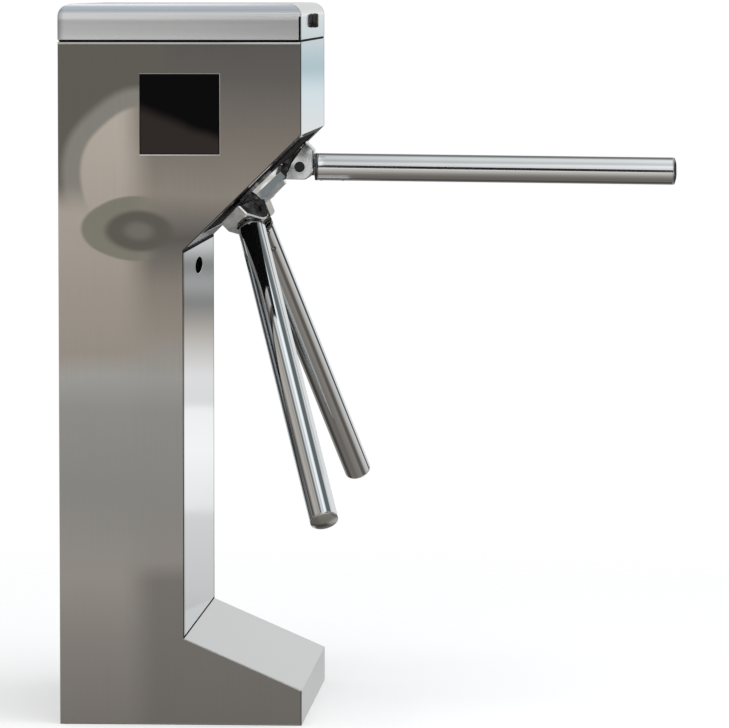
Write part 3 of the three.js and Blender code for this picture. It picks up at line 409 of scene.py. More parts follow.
def put_out(group, shaded, rough, height):
    rough = calculate(group, "MAXIMUM", rough, SMOOTHEST)
    add(group, "NodeGroupOutput", {"Color": shaded, "Roughness": rough, "Height": height})
    print("group", group.name)


grain_group, given = new_group("brushed_grain", [
    ("Grain Scale", "Vector", (600, 600, 6)), ("Grain Depth", "Float", 0.2), ("Cloud Depth", "Float", 0.2),
])
cloud_scale = 4.0
here = position(grain_group)
stretched = add(grain_group, "ShaderNodeMapping", {"Vector": here, "Scale": given["Grain Scale"]}).outputs[0]
scratch = noise(grain_group, stretched, 1.0, 3.0)
cloud = noise(grain_group, here, cloud_scale, 2.0)
scratch_part = around_zero(grain_group, scratch, given["Grain Depth"])
cloud_part = around_zero(grain_group, cloud, given["Cloud Depth"])
both = calculate(grain_group, "ADD", scratch_part, cloud_part)
shaded = scaled(grain_group, given["Color"], calculate(grain_group, "ADD", both, 1.0))
rough = calculate(grain_group, "MULTIPLY_ADD", both, 0.5, given["Roughness"])
put_out(grain_group, shaded, rough, scratch)

# %% [markdown]
# ## Fine unevenness
# Castings, plastic, plating and rubbed chrome aren't scratched one way. They have a fine pebbled skin and, over
# it, patches that hands and cleaning have left a little duller. A second group gives both from round noise. Its
# wave is a slow swell, which a casting's faces keep after tumbling.

# %% Shader group for the skin
skin_group, given = new_group("fine_skin", [
    ("Pebble Scale", "Float", 900.0), ("Patch Scale", "Float", 14.0), ("Patch Depth", "Float", 0.2),
    ("Wave", "Float", 0.0),
])
here = position(skin_group)
pebble = noise(skin_group, here, given["Pebble Scale"], 2.0)
patch = noise(skin_group, here, given["Patch Scale"], 4.0)
uneven = around_zero(skin_group, patch, given["Patch Depth"])
shaded = scaled(skin_group, given["Color"], calculate(skin_group, "SUBTRACT", 1.0, uneven))
rough = calculate(skin_group, "MULTIPLY_ADD", uneven, 0.6, given["Roughness"])
swell = noise(skin_group, here, given["Patch Scale"], 0.0)
put_out(skin_group, shaded, rough, calculate(skin_group, "MULTIPLY_ADD", swell, given["Wave"], pebble))

# %% [markdown]
# ## The finishes
# A finish is one of the two groups and a Principled BSDF. The bump distance is real: hundredths of a millimetre
# for brushing, a tenth for a casting. Only what changes over the surface is linked; plain numbers stay on the
# shader itself.


# %% Finish helper
def finish(name, group, values, metallic=1.0, bump=0.1, distance=0.03 * MM, tone=None, **plain):
    material, tree = new_material(name)
    pattern = add(tree, "ShaderNodeGroup", node_tree=group)
    for label, value in values.items():
        pattern.inputs[label].default_value = value
    if tone:
        tree.links.new(tone(tree), pattern.inputs["Color"])
    relief = add(tree, "ShaderNodeBump", {"Strength": bump, "Distance": distance, "Height": pattern.outputs["Height"]})
    shader = add(tree, "ShaderNodeBsdfPrincipled", {
        "Base Color": pattern.outputs["Color"], "Roughness": pattern.outputs["Roughness"],
        "Metallic": metallic, "Normal": relief.outputs[0],
    })
    for label, value in plain.items():
        shader.inputs[label.replace("_", " ")].default_value = value
    add(tree, "ShaderNodeOutputMaterial", {"Surface": shader.outputs[0]})
    return material


def brushed(name, color, roughness, grain, depth=0.25, cloud=0.2, **more):
    values = {"Color": (*color, 1), "Roughness": roughness, "Grain Scale": grain, "Grain Depth": depth,
              "Cloud Depth": cloud}
    return finish(name, grain_group, values, **more)


def skinned(name, color, roughness, pebble=900.0, patch=0.2, patch_scale=14.0, wave=0.0, **more):
    values = {"Color": (*color, 1), "Roughness": roughness, "Pebble Scale": pebble, "Patch Scale": patch_scale,
              "Patch Depth": patch, "Wave": wave}
    return finish(name, skin_group, values, **more)


print("finish helpers ready")

# %% [markdown]
# A thin sheet this large is never quite flat, and the side sheets get painted reflections of the soft arcs and
# curls that such a sheet mirrors: a light patch beside the window, and an eye-shaped curl below it. They are built
# from the distance to three ellipses, over a painted reflection that changes with height, and noise bends every
# edge a little. The dark window pane gets one such painted reflection too, dim and brown, across its lower part. A
# thin painted highlight runs along the top edge.


# %% Painted reflections on the side panels and panes
def oval(tree, across, up, centre, radii):
    """Distance from an ellipse's centre, 1 on its outline."""
    parts = [calculate(tree, "DIVIDE", calculate(tree, "SUBTRACT", value, middle), radius)
             for value, middle, radius in zip((across, up), centre, radii)]
    squares = [calculate(tree, "MULTIPLY", part, part) for part in parts]
    return calculate(tree, "SQRT", calculate(tree, "ADD", *squares))


def panel_painted_reflection(tree):
    here = position(tree)
    wave = noise(tree, here, 7.0, 1.0, "Color")
    reach = Vector((0.018, 0, 0.024))
    bent = vector_math(tree, "MULTIPLY_ADD", {0: wave, 1: reach, 2: here})
    x, _, z = axes_of(tree, vector_math(tree, "SUBTRACT", {0: bent, 1: reach / 2}))
    warm, clear, dull = (1, 0.9, 0.79), (1, 0.985, 0.94), (1, 0.94, 0.87)
    # Painted reflection: brightness over height, left and right of the window.
    left = ramp(tree, z, [
        (0, 0.245, dull), (0.12, 0.32, dull), (0.2, 0.4, dull), (0.32, 0.35, clear), (0.43, 0.395, clear),
        (0.475, 0.48, clear), (0.51, 0.44, warm), (0.6, 0.49, warm), (0.66, 0.54, warm), (0.84, 0.66, warm),
    ], 0, 1)
    right = ramp(tree, z, [
        (0, 0.205, dull), (0.2, 0.25, dull), (0.225, 0.36, dull), (0.32, 0.35, clear), (0.43, 0.38, clear),
        (0.475, 0.46, clear), (0.54, 0.4, warm), (0.6, 0.34, warm), (0.665, 0.165, dull), (0.72, 0.37, warm),
        (0.8, 0.27, warm), (0.88, 0.175, dull), (1, 0.125, clear),
    ], 0, 1)
    tone = blend(tree, step(tree, x, -0.085, -0.03), left, right)
    # Painted reflections: a light arc, an eye-shaped curl and its core.
    arc = oval(tree, x, z, (-0.045, 0.745), (0.09, 0.094))
    upper = all_of(tree, step(tree, x, 0.0, -0.03), step(tree, z, 0.69, 0.74))
    ring = blend(tree, step(tree, arc, 1.2, 1.36), (0.34, 0.325, 0.29, 1), (0.175, 0.165, 0.145, 1))
    tone = blend(tree, all_of(tree, upper, step(tree, arc, 0.97, 1.05)), tone, ring)
    eye = oval(tree, x, z, (-0.062, 0.677), (0.074, 0.04))
    in_eye = all_of(tree, step(tree, eye, 1.05, 0.96), step(tree, x, -0.02, -0.06))
    tone = blend(tree, in_eye, tone, (0.3, 0.29, 0.235, 1))
    core = oval(tree, x, z, (-0.056, 0.674), (0.05, 0.026))
    tone = blend(tree, step(tree, core, 1.1, 0.8), tone, (0.165, 0.155, 0.135, 1))
    tone = blend(tree, step(tree, core, 0.6, 0.2), tone, (0.24, 0.23, 0.2, 1))
    tone = scaled(tree, tone, 1.16)
    # A thin painted highlight along the top edge.
    height = axes_of(tree, here)["Z"]
    return blend(tree, step(tree, height, 0.9254, 0.926), tone, (0.72, 0.71, 0.69, 1))


def pane_painted_reflection(tree):
    here = position(tree)
    x, _, z = axes_of(tree, here)
    wave = calculate(tree, "MULTIPLY", noise(tree, here, 18.0, 1.0), 0.012)
    # Painted reflection: a dim brown patch across the pane's lower part.
    slope = calculate(tree, "ADD", calculate(tree, "MULTIPLY_ADD", x, 0.4, z), wave)
    low = step(tree, slope, 0.835, 0.815)
    return blend(tree, low, (0.003, 0.003, 0.003, 1), (0.036, 0.027, 0.024, 1))


# %% [markdown]
# The lid is one bent sheet. Its long bend gets a painted reflection, a bright line with a cooler band above it, and
# its left end painted shade. The polished sheets get painted shade at both side edges, where they are folded back.


# %% Painted reflection on the lid and painted shade on the polished sheets
def lid_painted_reflection(tree):
    x, _, z = axes_of(tree, position(tree))
    cold = (0.88, 0.93, 1)
    # Painted reflection: a bright line and a cooler band along the bend.
    rows = ramp(tree, z, [
        (0.93, 0.8), (0.9355, 0.8), (0.938, 0.75), (0.945, 0.7), (0.952, 0.68), (0.9555, 0.65), (0.958, 0.72),
        (0.9602, 0.95), (0.9625, 1), (0.965, 1), (0.9665, 0.8), (0.968, 0.7, cold), (0.971, 0.7, cold),
        (0.976, 0.66, cold), (0.9775, 0.8), (0.979, 1), (0.98, 0.92),
    ], 0.93, 0.98)
    # Painted shade on the left end.
    return scaled(tree, rows, step(tree, x, -0.167, -0.155, 0.45, 1.0))


def fold_painted_shade(tree):
    # Painted shade along both side edges of the polished sheets.
    across = calculate(tree, "ABSOLUTE", axes_of(tree, position(tree))["Y"])
    return blend(tree, step(tree, across, 0.2205, 0.2245), (0.82, 0.85, 0.87, 1), (0.16, 0.17, 0.18, 1))


print("tones ready")

# %% [markdown]
# Brushing runs upright on the sides, lengthwise on the lid and across on the foot. The faces that look to the
# right are polished, and the dome gives them their bands.

# %% Finishes
UPRIGHT, LENGTHWISE, ACROSS = (1400, 1400, 9), (9, 1400, 1400), (1400, 9, 1400)
finishes = {
    "panel": brushed("panel_steel", (0.5, 0.5, 0.5), 0.34, UPRIGHT, depth=0.16, cloud=0.12, tone=panel_painted_reflection),
    "back": brushed("back_steel", (0.6, 0.585, 0.56), 0.34, UPRIGHT),
    "lid": brushed("lid_steel", (0.9, 0.895, 0.88), 0.22, LENGTHWISE, depth=0.1, cloud=0.08, tone=lid_painted_reflection),
    "mirror": brushed("mirror_steel", (0.82, 0.85, 0.87), 0.07, UPRIGHT, depth=0.04, cloud=0.04, tone=fold_painted_shade),
    "foot": brushed("foot_steel", (0.84, 0.85, 0.85), 0.22, ACROSS, depth=0.06, cloud=0.08),
    # Edges: partly rubbed metal, partly a painted highlight, brighter than the faces they round.
    "edge": brushed("worn_edge_and_painted_highlight_steel", (0.86, 0.86, 0.85), 0.18, UPRIGHT, depth=0.1, cloud=0.1),
    "zinc": skinned("zinc_plating", (0.55, 0.56, 0.55), 0.38, patch=0.35, patch_scale=30.0, bump=0.15),
    "ground": skinned("ground_steel", (0.66, 0.66, 0.67), 0.2, patch=0.15, bump=0.05),
    # Blackened steel for real parts, and also painted shade on the side sheets' edges.
    "dark": skinned("blackened_steel_and_painted_shade", (0.045, 0.044, 0.043), 0.36, patch=0.4, metallic=0.8, bump=0.15),
    "cast": skinned("cast_alloy", (0.86, 0.87, 0.87), 0.17, pebble=500.0, patch=0.35, patch_scale=40.0, wave=40.0,
                    bump=0.4, distance=0.1 * MM),
    # Painted shade: a dark rough casting for the hub's hollows, one cheek of each fork and the arms' castings.
    "shade": skinned("painted_shade_casting", (0.09, 0.09, 0.09), 0.3, pebble=500.0, patch=1.6, patch_scale=80.0, wave=30.0,
                     bump=0.4, distance=0.1 * MM),
    "chrome": skinned("chrome_tube", (0.84, 0.85, 0.86), 0.06, patch=0.08, patch_scale=20.0, bump=0.02),
    "cap": skinned("turned_cap_steel", (0.72, 0.71, 0.70), 0.12, patch=0.25, patch_scale=60.0, bump=0.1),
    "brass": skinned("lock_brass", (0.66, 0.50, 0.22), 0.28, patch=0.2, bump=0.08),
    "plastic": skinned("black_moulding", (0.014, 0.014, 0.015), 0.42, pebble=1400.0, metallic=0.0, bump=0.2),
    "glass": skinned("black_pane", (0.004, 0.004, 0.004), 0.06, patch=0.1, metallic=0.0, bump=0.0, tone=pane_painted_reflection,
                     Specular_IOR_Level=0.03),
    # Black coating for real parts, and also painted shade in joints, along the lid's seal line and on one cap's rim.
    "coating": skinned("black_coating", (0.005, 0.005, 0.005), 0.6, pebble=1100.0, metallic=0.0, bump=0.25,
                       Specular_IOR_Level=0.015),
    "board": skinned("board_mask", (0.02, 0.11, 0.045), 0.3, patch=0.3, patch_scale=60.0, metallic=0.0, bump=0.1),
    "chip": skinned("chip_moulding", (0.02, 0.02, 0.022), 0.4, metallic=0.0, bump=0.15),
    "shield": skinned("bearing_shield", (0.30, 0.31, 0.32), 0.3, bump=0.05),
}
print(len(finishes), "finishes")

# %% [markdown]
# ## From CAD solids to finished pieces
# A real sheet or casting has no perfectly sharp edge, and it is the small round on each edge that catches light.
# A CAD node comes in as loose triangles, so a copy of it is merged first, its flat triangles are dissolved into
# whole faces, and a Bevel modifier rounds what is sharper than 30 degrees. Normals weighted by area keep a large
# flat face flat right up to the curve beside it. The modifiers can only give the edges a second material if the
# mesh already has two slots, so two empty ones are added first.


# %% Finishing helpers
SHARP = math.radians(30)


def settle(mesh, name, body, slots):
    """Links a finished mesh as a piece that rides on a body. Empty slots are filled first, since clearing them
    would move every face back to the first one."""
    for index, material in enumerate(slots):
        if index < len(mesh.materials):
            mesh.materials[index] = finishes[material]
        else:
            mesh.materials.append(finishes[material])
    piece = new_object(name, mesh)
    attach(piece, body)
    return piece


def evaluated(piece, name):
    """The plain mesh that an object's modifiers give."""
    graph = bpy.context.evaluated_depsgraph_get()
    graph.update()
    mesh = bpy.data.meshes.new_from_object(piece.evaluated_get(graph), depsgraph=graph)
    mesh.name = name
    return mesh


def softened(node, name, width, edge_slot, outer=1.0):
    """A merged copy of a CAD node with its edges rounded, as a plain mesh; the outermost ones are rounded more."""
    shape = bmesh.new()
    shape.from_mesh(cad[node].data)
    bmesh.ops.remove_doubles(shape, verts=shape.verts, dist=2e-6)
    bmesh.ops.dissolve_limit(shape, angle_limit=math.radians(0.4), verts=shape.verts, edges=shape.edges)
    for face in shape.faces:
        face.smooth = True
        face.material_index = 0
    weight = shape.edges.layers.float.new("bevel_weight_edge")
    reach = max(abs(vert.co.y) for vert in shape.verts)
    for edge in shape.edges:
        on_outside = all(abs(vert.co.y) > reach - 0.01 * MM for vert in edge.verts)
        sharp = edge.is_manifold and edge.calc_face_angle(0) > SHARP
        edge[weight] = (1.0 if on_outside else 1 / outer) * sharp
    mesh = mesh_from(shape, name)
    mesh.materials.append(None)
    mesh.materials.append(None)
    work = new_object(name, mesh)
    round_edge = work.modifiers.new("round_edge", "BEVEL")
    round_edge.width, round_edge.segments = width * outer, 2 if outer == 1 else 3
    round_edge.limit_method = "WEIGHT"
    round_edge.harden_normals = True
    round_edge.use_clamp_overlap = True
    round_edge.material = edge_slot
    flat_faces = work.modifiers.new("flat_faces", "WEIGHTED_NORMAL")
    flat_faces.keep_sharp = True
    mesh.set_sharp_from_angle(angle=SHARP)
    done = evaluated(work, name)
    bpy.data.objects.remove(work)
    return done


def finished(node, material, width=0.4 * MM, edge=None, outer=1.0):
    """The finished piece that stands for a CAD node."""
    mesh = softened(node, node + "_finished", width, 1 if edge else 0, outer)
    piece = settle(mesh, node + "_finished", body_of_node[node], [material, edge or material])
    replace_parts(piece, node)
    return piece


print("finishing helpers ready")

# %% [markdown]
# ## The pedestal
# The pedestal's outside comes first: brushed sides and polished front faces. Their rounded edges get a brighter
# finish of their own, partly as rubbed edges are and partly as a painted highlight, while the upright ones at the
# corners and the faces along the bottom get painted shade. The sheets stop a little below the lid, and the service
# panel is made a little shorter, because a joint shows as a dark line.

# %% Sheets
sheet_edge = 0.35 * MM
sheet_top, rim_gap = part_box("side_panel_front")[1].z, 1.5 * MM
window_side, window_low, window_high = 56 * MM, 770 * MM, 890 * MM


def shifted(piece, low, high, shift):
    """Moves what lies between two heights up or down, to open a joint line."""
    for vert in piece.data.vertices:
        if low < vert.co.z < high:
            vert.co.z += shift


def lowered(piece):
    """Lowers a sheet's top edge."""
    shifted(piece, sheet_top - 1.7 * MM, sheet_top + MM, -rim_gap)


for node in ("side_panel_front", "side_panel_back"):
    side_sheet = finished(node, "panel", sheet_edge, "edge", outer=4.0)
    side_sheet.data.materials.append(finishes["dark"])
    # Slot 2 is painted shade: dark on the upright corner edges, and a painted contact shadow on the faces along the
    # bottom.
    for face in side_sheet.data.polygons:
        x, y, z = face.normal
        beside_window = abs(face.center.x) < window_side and window_low < face.center.z < window_high
        upright = abs(x) > 0.15 and abs(y) > 0.1 and z < 0.05 and not beside_window
        if upright or (z < -0.3 and face.center.z < 10 * MM):
            face.material_index = 2
    lowered(side_sheet)
lowered(finished("back_panel", "back", sheet_edge, "edge"))
lowered(finished("head_front_panel", "mirror", sheet_edge, "edge"))
front_door = finished("service_panel", "mirror", sheet_edge, "edge")
door_low, door_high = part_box("service_panel")
shifted(front_door, door_high.z - 2 * MM, door_high.z + MM, -2 * MM)
shifted(front_door, door_low.z - MM, door_low.z + 2 * MM, 1.3 * MM)
finished("foot_cover", "foot", sheet_edge, "edge")
print("sheets finished")

# %% [markdown]
# The lid is brushed and its right end polished, with its inner faces black as painted shade. The frame round the
# service panel is black as painted shade, so that the joint stays dark. Plates and posts are zinc plated, and the
# windows are dark panes in front of plastic boxes.

# %% Lid, frame and windows
finished("lid_shell", "lid", sheet_edge, "edge")
end_cap = finished("lid_end_cap", "mirror", sheet_edge, "edge")
end_cap.data.materials.append(finishes["coating"])
inside_y, inside_x = 238.8 * MM, 164.5 * MM
# The end cap's inner tabs, seen through the seam, get painted shade.
for face in end_cap.data.polygons:
    if abs(face.normal.y) > 0.5 and abs(face.center.y) < inside_y and face.center.x < inside_x:
        face.material_index = 2
# The frame is black as painted shade in the joint.
finished("column_frame", "coating", 0.3 * MM)
for node in ("base_plate", "frame_post_front", "frame_post_back", "top_rim", "lid_keeper"):
    finished(node, "zinc", 0.3 * MM)
for way in ("front", "back"):
    finished("window_" + way, "glass", 0.5 * MM)
    finished("indicator_housing_" + way, "plastic", 0.5 * MM)
print("pedestal finished")

# %% [markdown]
# The lid closes on a thin black seal behind the top edge of the sheets, on three sides. It is black partly as a
# seal and partly as painted shade: its dark line is what parts the lid from the pedestal.

# %% Lid seal
left_end = -0.1625
(outer_x, outer_y), (inner_x, inner_y) = (0.1642, 0.2392), (0.16325, 0.23825)
outline = [(left_end, -outer_y), (outer_x, -outer_y), (outer_x, outer_y), (left_end, outer_y),
           (left_end, inner_y), (inner_x, inner_y), (inner_x, -inner_y), (left_end, -inner_y)]
seal_bottom, seal_height = sheet_top - 1.45 * MM, 2.8 * MM
shape = bmesh.new()
strip_face = shape.faces.new([shape.verts.new((x, y, seal_bottom)) for x, y in outline])
pulled = bmesh.ops.extrude_face_region(shape, geom=[strip_face])["geom"]
pulled_verts = [part for part in pulled if isinstance(part, bmesh.types.BMVert)]
bmesh.ops.translate(shape, vec=(0, 0, seal_height), verts=pulled_verts)
bmesh.ops.recalc_face_normals(shape, faces=shape.faces)
upper_edges = [edge for edge in shape.edges if all(vert.co.z > sheet_top + MM for vert in edge.verts)]
bmesh.ops.bevel(shape, geom=upper_edges, offset=0.3 * MM, segments=2, affect="EDGES", profile=0.5)
seal_mesh = mesh_from(shape, "lid_seal_and_painted_shade")
settle(seal_mesh, "lid_seal_and_painted_shade", "cabinet", ["coating"])
print("seal of", len(seal_mesh.polygons), "faces")

# %% [markdown]
# The mechanism stands behind the slanted face and shows when the lid is up. Its plates are zinc plated, its
# bearings and shaft ground, its motor and solenoids black.

# %% Mechanism
for node, material in {
    "hub_cover_plate": "coating", "mechanism_plate": "zinc", "mechanism_rail_front": "zinc",
    "mechanism_rail_back": "zinc", "bearing_housing": "cast", "outer_bearing": "shield", "inner_bearing": "shield",
    "rotor_shaft": "ground", "rotor_gear": "zinc", "motor_pinion": "brass", "gear_motor": "dark",
    "lock_wheel": "zinc", "rear_plate": "zinc", "lock_pawl_front": "dark", "lock_pawl_back": "dark",
    "lock_solenoid_front": "dark", "lock_solenoid_back": "dark", "lock_plunger_front": "ground",
    "lock_plunger_back": "ground", "encoder_disc": "plastic", "encoder_board": "board", "power_supply": "zinc",
    "lid_hinge_pin": "ground", "lid_lock_housing": "dark", "lid_lock_plug": "brass", "lid_lock_cam": "zinc",
}.items():
    finished(node, material, 0.25 * MM)
print("mechanism finished")

# %% [markdown]
# A circuit board is one solid in the frame, but its parts differ in colour. They stand at different heights over
# the board, so each face of the finished copy takes its material from how far it stands off.

# %% Control board
board = finished("control_board", "board", 0.2 * MM)
board.data.materials.append(finishes["chip"])
board_thickness = 13.8 * MM
board_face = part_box("control_board")[0].x + board_thickness
for face in board.data.polygons:
    face.material_index = 1 if face.center.x > board_face else 0
print("board faces", len(board.data.polygons))

# %% [markdown]
# ## Where the arms are
# Each arm's frame follows from its fold joint: the hub's axis, and the direction from that axis out to the pivot.
# The arm leaves the pivot at 45 degrees to the axis, halfway between these two.


# %% Arm frames
hub_axis = Vector(joints["rotor_spin"]["axis"]).normalized()
hub_centre = Vector(joints["rotor_spin"]["pos_m"])


def arm_frame(number):
    """The place and turn of an arm: X along it, Y across its fork, Z away from the hub's axis."""
    pivot = Vector(joints[f"arm_{number}_fold"]["pos_m"])
    radial = pivot - hub_centre
    radial = (radial - hub_axis * radial.dot(hub_axis)).normalized()
    along = (radial + hub_axis).normalized()
    away = (radial - hub_axis).normalized()
    side = away.cross(along)
    return Matrix.Translation(pivot) @ Matrix((along, side, away)).transposed().to_4x4()


print("hub centre at", [round(v, 3) for v in hub_centre])

# %% [markdown]
# ## The hub and the arms' castings
# The hub is one casting with three forks. Its edges are rounded more than sheet edges are, which gives it the
# bright rims of a tumbled casting. One cheek of each fork and the hollows beside it get painted shade, a dark rough
# finish, and so do the castings that carry the tubes.

# %% Hub
casting = finished("rotor_hub", "cast", 0.8 * MM, "edge")
casting.data.materials.append(finishes["shade"])
finished("hub_cap", "ground", 0.3 * MM)
fork_reach, hollow_from, hollow_to, cheek_from = 45 * MM, 12 * MM, 19.5 * MM, 20.5 * MM
for number in (1, 2, 3):
    # The arms' castings get painted shade.
    finished(f"arm_{number}_root", "shade", 0.5 * MM, "edge")
    finished(f"arm_{number}_pin", "dark", 0.5 * MM)
    into_fork = arm_frame(number).inverted()
    # Painted shade on the hollows and on one cheek of each fork.
    for face in casting.data.polygons:
        place, facing = into_fork @ face.center, (into_fork.to_3x3() @ face.normal).y
        hollow = abs(facing) > 0.95 and hollow_from < abs(place.y) < hollow_to
        if place.length < fork_reach and (hollow or (facing > 0.95 and place.y > cheek_from)):
            face.material_index = 2
print("hub finished")

# %% [markdown]
# ## The arms
# Each arm is a polished tube, 38 mm across. The frame gives it 40 flat sides, which a mirror finish would show,
# so the tube is swept again in Geometry Nodes: a small rounded rectangle, the wall's section, is carried round a
# circle. The tree's inputs are the tube's own sizes.


# %% Tube tree
def new_tree(name, inputs):
    tree = bpy.data.node_groups.new(name, "GeometryNodeTree")
    tree.interface.new_socket("Geometry", in_out="INPUT", socket_type="NodeSocketGeometry")
    for label, kind, value in inputs:
        socket = tree.interface.new_socket(label, in_out="INPUT", socket_type="NodeSocket" + kind)
        if value is not None:
            socket.default_value = value
    tree.interface.new_socket("Geometry", in_out="OUTPUT", socket_type="NodeSocketGeometry")
    return tree, add(tree, "NodeGroupInput").outputs


tube_tree, given = new_tree("swept_tube", [
    ("Radius", "Float", 0.019), ("Wall", "Float", 0.002), ("Length", "Float", 0.494), ("Round", "Float", 0.0006),
    ("Material", "Material", None),
])
middle = calculate(tube_tree, "MULTIPLY_ADD", given["Wall"], -0.5, given["Radius"])
path = add(tube_tree, "GeometryNodeCurvePrimitiveCircle", {"Resolution": 96, "Radius": middle})
section = add(tube_tree, "GeometryNodeCurvePrimitiveQuadrilateral", {"Width": given["Wall"], "Height": given["Length"]})
rounded = add(tube_tree, "GeometryNodeFilletCurve",
              {"Curve": section.outputs[0], "Radius": given["Round"], "Count": 2}, mode="POLY")
swept = add(tube_tree, "GeometryNodeCurveToMesh", {"Curve": path.outputs[0], "Profile Curve": rounded.outputs[0]})
smooth = add(tube_tree, "GeometryNodeSetShadeSmooth", {"Geometry": swept.outputs[0]})
painted = add(tube_tree, "GeometryNodeSetMaterial", {"Geometry": smooth.outputs[0], "Material": given["Material"]})
real = add(tube_tree, "GeometryNodeRealizeInstances", {"Geometry": painted.outputs[0]})
add(tube_tree, "NodeGroupOutput", {"Geometry": real.outputs[0]})
print("tree", tube_tree.name, "with", len(tube_tree.nodes), "nodes")


# %% [markdown]
# A tree is run on a throwaway object. Its inputs are set by socket identifier before Blender first evaluates it,
# and the result is kept as a plain mesh.


# %% Tree runner
def grown(tree, name, values, points=None):
    """The plain mesh that a Geometry Nodes tree gives with these input values."""
    work = new_object(name, points or bpy.data.meshes.new(name + "_seed"))
    modifier = work.modifiers.new("grow", "NODES")
    modifier.node_group = tree
    for socket in tree.interface.items_tree:
        if socket.in_out == "INPUT" and socket.name in values:
            modifier[socket.identifier] = values[socket.name]
    work.update_tag()
    mesh = evaluated(work, name)
    bpy.data.objects.remove(work)
    return mesh


def outward(mesh):
    """Turns a closed mesh's faces outwards."""
    shape = bmesh.new()
    shape.from_mesh(mesh)
    bmesh.ops.remove_doubles(shape, verts=shape.verts, dist=1e-7)
    bmesh.ops.recalc_face_normals(shape, faces=shape.faces)
    if shape.calc_volume(signed=True) < 0:
        bmesh.ops.reverse_faces(shape, faces=shape.faces)
    shape.to_mesh(mesh)
    shape.free()
    return mesh


print("tree runner ready")

# %% [markdown]
# A turned cap closes each tube: its profile is carried round the tube's axis, and both ends lie on that axis.


# %% Lathe
def lathe(profile, count=96):
    """A closed mesh turned about X from pairs of (distance along X, radius)."""
    shape = bmesh.new()
    rings = []
    for x, radius in profile:
        turns = [2 * math.pi * i / count for i in range(count)] if radius > 0 else [0]
        rings.append([shape.verts.new((x, radius * math.cos(t), radius * math.sin(t))) for t in turns])
    for a, b in zip(rings, rings[1:]):
        for i in range(count):
            j = (i + 1) % count
            corners = [a[i % len(a)], a[j % len(a)], b[j % len(b)], b[i % len(b)]]
            shape.faces.new(list(dict.fromkeys(corners))).smooth = True
    mesh = outward(mesh_from(shape, "turned"))
    mesh.set_sharp_from_angle(angle=math.radians(40))
    return mesh


print("lathe ready")

# %% [markdown]
# A tube comes out of its tree standing at the origin, so it is laid along the arm, and then it goes to the arm's
# frame. The cap plugs the tube with a thin skirt. Its rounded rim is painted black on the arm that points to the
# right, a painted reflection of the dark side of the studio.

# %% Arm tubes and end caps
tube_start, tube_length, tube_radius = 25.1 * MM, 494 * MM, 19 * MM
cap_profile = [
    (0.0, 0), (0.0, 13.7), (-14.0, 13.7), (-14.3, 14.0), (-14.3, 16.4), (-14.0, 16.7), (0.3, 16.7), (0.3, 18.6),
    (0.6, 19.0), (1.1, 19.0), (1.5, 18.7), (2.3, 17.0), (3.2, 14.2), (4.1, 10.9), (4.9, 7.0), (5.4, 3.3), (5.5, 0),
]
rim_start, rim_radius = 1.1 * MM, 9 * MM
for number in (1, 2, 3):
    here = arm_frame(number)
    values = {"Radius": tube_radius, "Length": tube_length, "Material": finishes["chrome"]}
    mesh = outward(grown(tube_tree, f"arm_{number}_tube_swept", values))
    stand = Matrix.Translation((tube_start + tube_length / 2, 0, 0)) @ Matrix.Rotation(math.pi / 2, 4, "Y")
    mesh.transform(here @ stand)
    mesh.set_sharp_from_angle(angle=math.radians(15))
    mesh.materials.clear()
    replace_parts(settle(mesh, f"arm_{number}_tube_swept", f"arm_{number}", ["chrome"]), f"arm_{number}_tube")
    cap = lathe([(x * MM, radius * MM) for x, radius in cap_profile])
    for face in cap.polygons:
        # Painted reflection: the rim is black where it looks to the right.
        looks_right = (here.to_3x3() @ face.normal).x > 0.85
        on_rim = face.center.x > rim_start and face.center.yz.length > rim_radius
        face.material_index = 1 if looks_right and on_rim else 0
    cap.transform(here @ Matrix.Translation((tube_start + tube_length, 0, 0)))
    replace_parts(settle(cap, f"arm_{number}_end_cap_turned", f"arm_{number}", ["cap", "coating"]),
                f"arm_{number}_end_cap")
    tip = here @ Vector((tube_start + tube_length + cap_profile[-1][0] * MM, 0, 0))
    print("arm", number, "tip at", [round(v, 3) for v in tip])

# %% [markdown]
# ## Screws
# Small socket-head screws hold the arms in their castings and the cap on the hub. They all have one shape, so one
# tree makes it: a short cylinder, a chamfer drawn in from its top face, and a hexagon cut out. The tree puts one
# on every point of a mesh, turned to that point's own direction.

# %% Screw tree
screw_tree, given = new_tree("socket_screws", [
    ("Head Radius", "Float", 0.003), ("Head Height", "Float", 0.002), ("Material", "Material", None),
])
body_share, chamfer_share, socket_share, top_share, seat_share = 0.65, 0.35, 0.5, 0.8, 0.3
body_height = calculate(screw_tree, "MULTIPLY", given["Head Height"], body_share)
chamfer_height = calculate(screw_tree, "MULTIPLY", given["Head Height"], chamfer_share)
shank = add(screw_tree, "GeometryNodeMeshCylinder",
            {"Vertices": 24, "Radius": given["Head Radius"], "Depth": body_height})
chamfer = add(screw_tree, "GeometryNodeExtrudeMesh",
              {"Mesh": shank.outputs["Mesh"], "Selection": shank.outputs["Top"], "Offset Scale": chamfer_height})
drawn_in = add(screw_tree, "GeometryNodeScaleElements",
               {"Geometry": chamfer.outputs["Mesh"], "Selection": chamfer.outputs["Top"], "Scale": top_share})
socket_radius = calculate(screw_tree, "MULTIPLY", given["Head Radius"], socket_share)
hexagon = add(screw_tree, "GeometryNodeMeshCylinder",
              {"Vertices": 6, "Radius": socket_radius, "Depth": given["Head Height"]})
lift = add(screw_tree, "ShaderNodeCombineXYZ", {"Z": given["Head Height"]})
raised = add(screw_tree, "GeometryNodeTransform",
             {"Geometry": hexagon.outputs["Mesh"], "Translation": lift.outputs[0]})
head = add(screw_tree, "GeometryNodeMeshBoolean",
           {"Mesh 1": drawn_in.outputs[0], "Mesh 2": raised.outputs[0]}, operation="DIFFERENCE")
print("screw head of", len(screw_tree.nodes), "nodes")
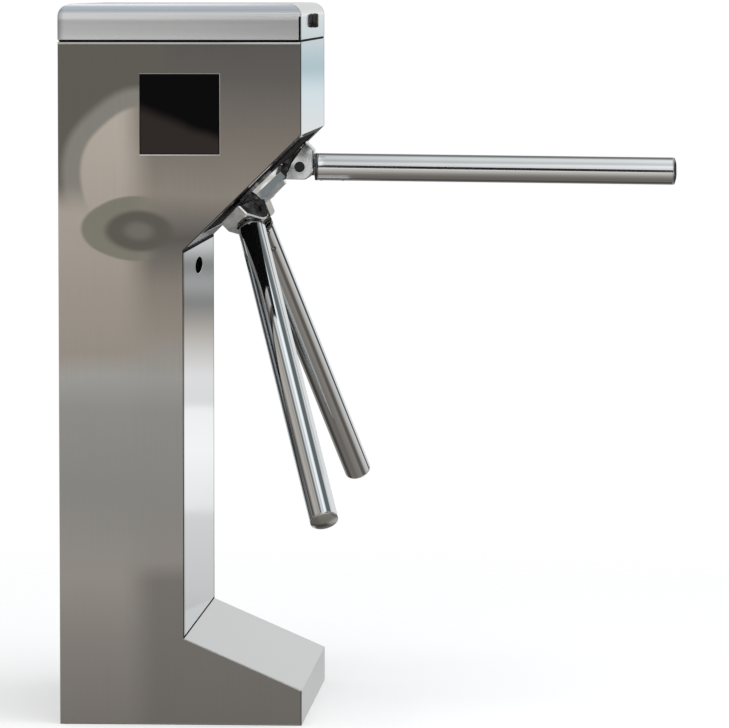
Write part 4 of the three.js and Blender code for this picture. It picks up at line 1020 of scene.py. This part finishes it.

# %% [markdown]
# The rest of the tree reads each point's direction and puts a head there. Its material input says which of the
# scene's finishes the screws have.

# %% Screws on points
aim_at = add(screw_tree, "GeometryNodeInputNamedAttribute", {"Name": "aim"}, data_type="FLOAT_VECTOR")
turned_to = add(screw_tree, "FunctionNodeAlignRotationToVector", {"Vector": aim_at.outputs["Attribute"]}, axis="Z")
placed = add(screw_tree, "GeometryNodeInstanceOnPoints",
             {"Points": given["Geometry"], "Instance": head.outputs["Mesh"], "Rotation": turned_to.outputs[0]})
real = add(screw_tree, "GeometryNodeRealizeInstances", {"Geometry": placed.outputs[0]})
painted = add(screw_tree, "GeometryNodeSetMaterial", {"Geometry": real.outputs[0], "Material": given["Material"]})
add(screw_tree, "NodeGroupOutput", {"Geometry": painted.outputs[0]})


def screws(name, body, places, radius, height, material="ground", sunk=0.0):
    """Screws at places, each a point on a surface and the direction that its head faces."""
    seeds = bpy.data.meshes.new(name + "_points")
    raise_by = height * seat_share - sunk
    seeds.from_pydata([tuple(point + aim.normalized() * raise_by) for point, aim in places], [], [])
    aims = seeds.attributes.new("aim", "FLOAT_VECTOR", "POINT")
    for slot, (_, aim) in zip(aims.data, places):
        slot.vector = aim
    values = {"Head Radius": radius, "Head Height": height, "Material": finishes[material]}
    mesh = grown(screw_tree, name, values, seeds)
    mesh.materials.clear()
    settle(mesh, name, body, [material])
    print(len(places), name)


# %% [markdown]
# Two screws with dark washers sit on the inner side of each arm, near its casting, where they go through the
# tube's wall. They are turned a little round the tube. The hub's cap has three, on a circle.

# %% Screws on the rotor and arms
around_tube = math.radians(15)
inner = Vector((0, math.sin(around_tube), -math.cos(around_tube)))
for number in (1, 2, 3):
    here, body = arm_frame(number), f"arm_{number}"
    spots = [(here @ (Vector((x, 0, 0)) + inner * tube_radius), here.to_3x3() @ inner) for x in (29 * MM, 59 * MM)]
    screws(body + "_washers", body, spots, 4 * MM, 1 * MM, "dark", sunk=0.7 * MM)
    screws(body + "_screws", body, spots, 2.6 * MM, 1.2 * MM, sunk=0.5 * MM)

up_slope = Vector((-hub_axis.z, 0, hub_axis.x))
slant = Matrix.Translation(hub_centre) @ Matrix((up_slope, Vector((0, -1, 0)), hub_axis)).transposed().to_4x4()
screw_circle, cap_face = 13 * MM, 26.7 * MM
turns = (math.pi, math.pi / 3, -math.pi / 3)
spots = [(slant @ Vector((screw_circle * math.cos(t), screw_circle * math.sin(t), cap_face)), hub_axis) for t in turns]
screws("hub_cap_screws", "rotor", spots, 2.5 * MM, 0.8 * MM)
print("rotor screws placed")
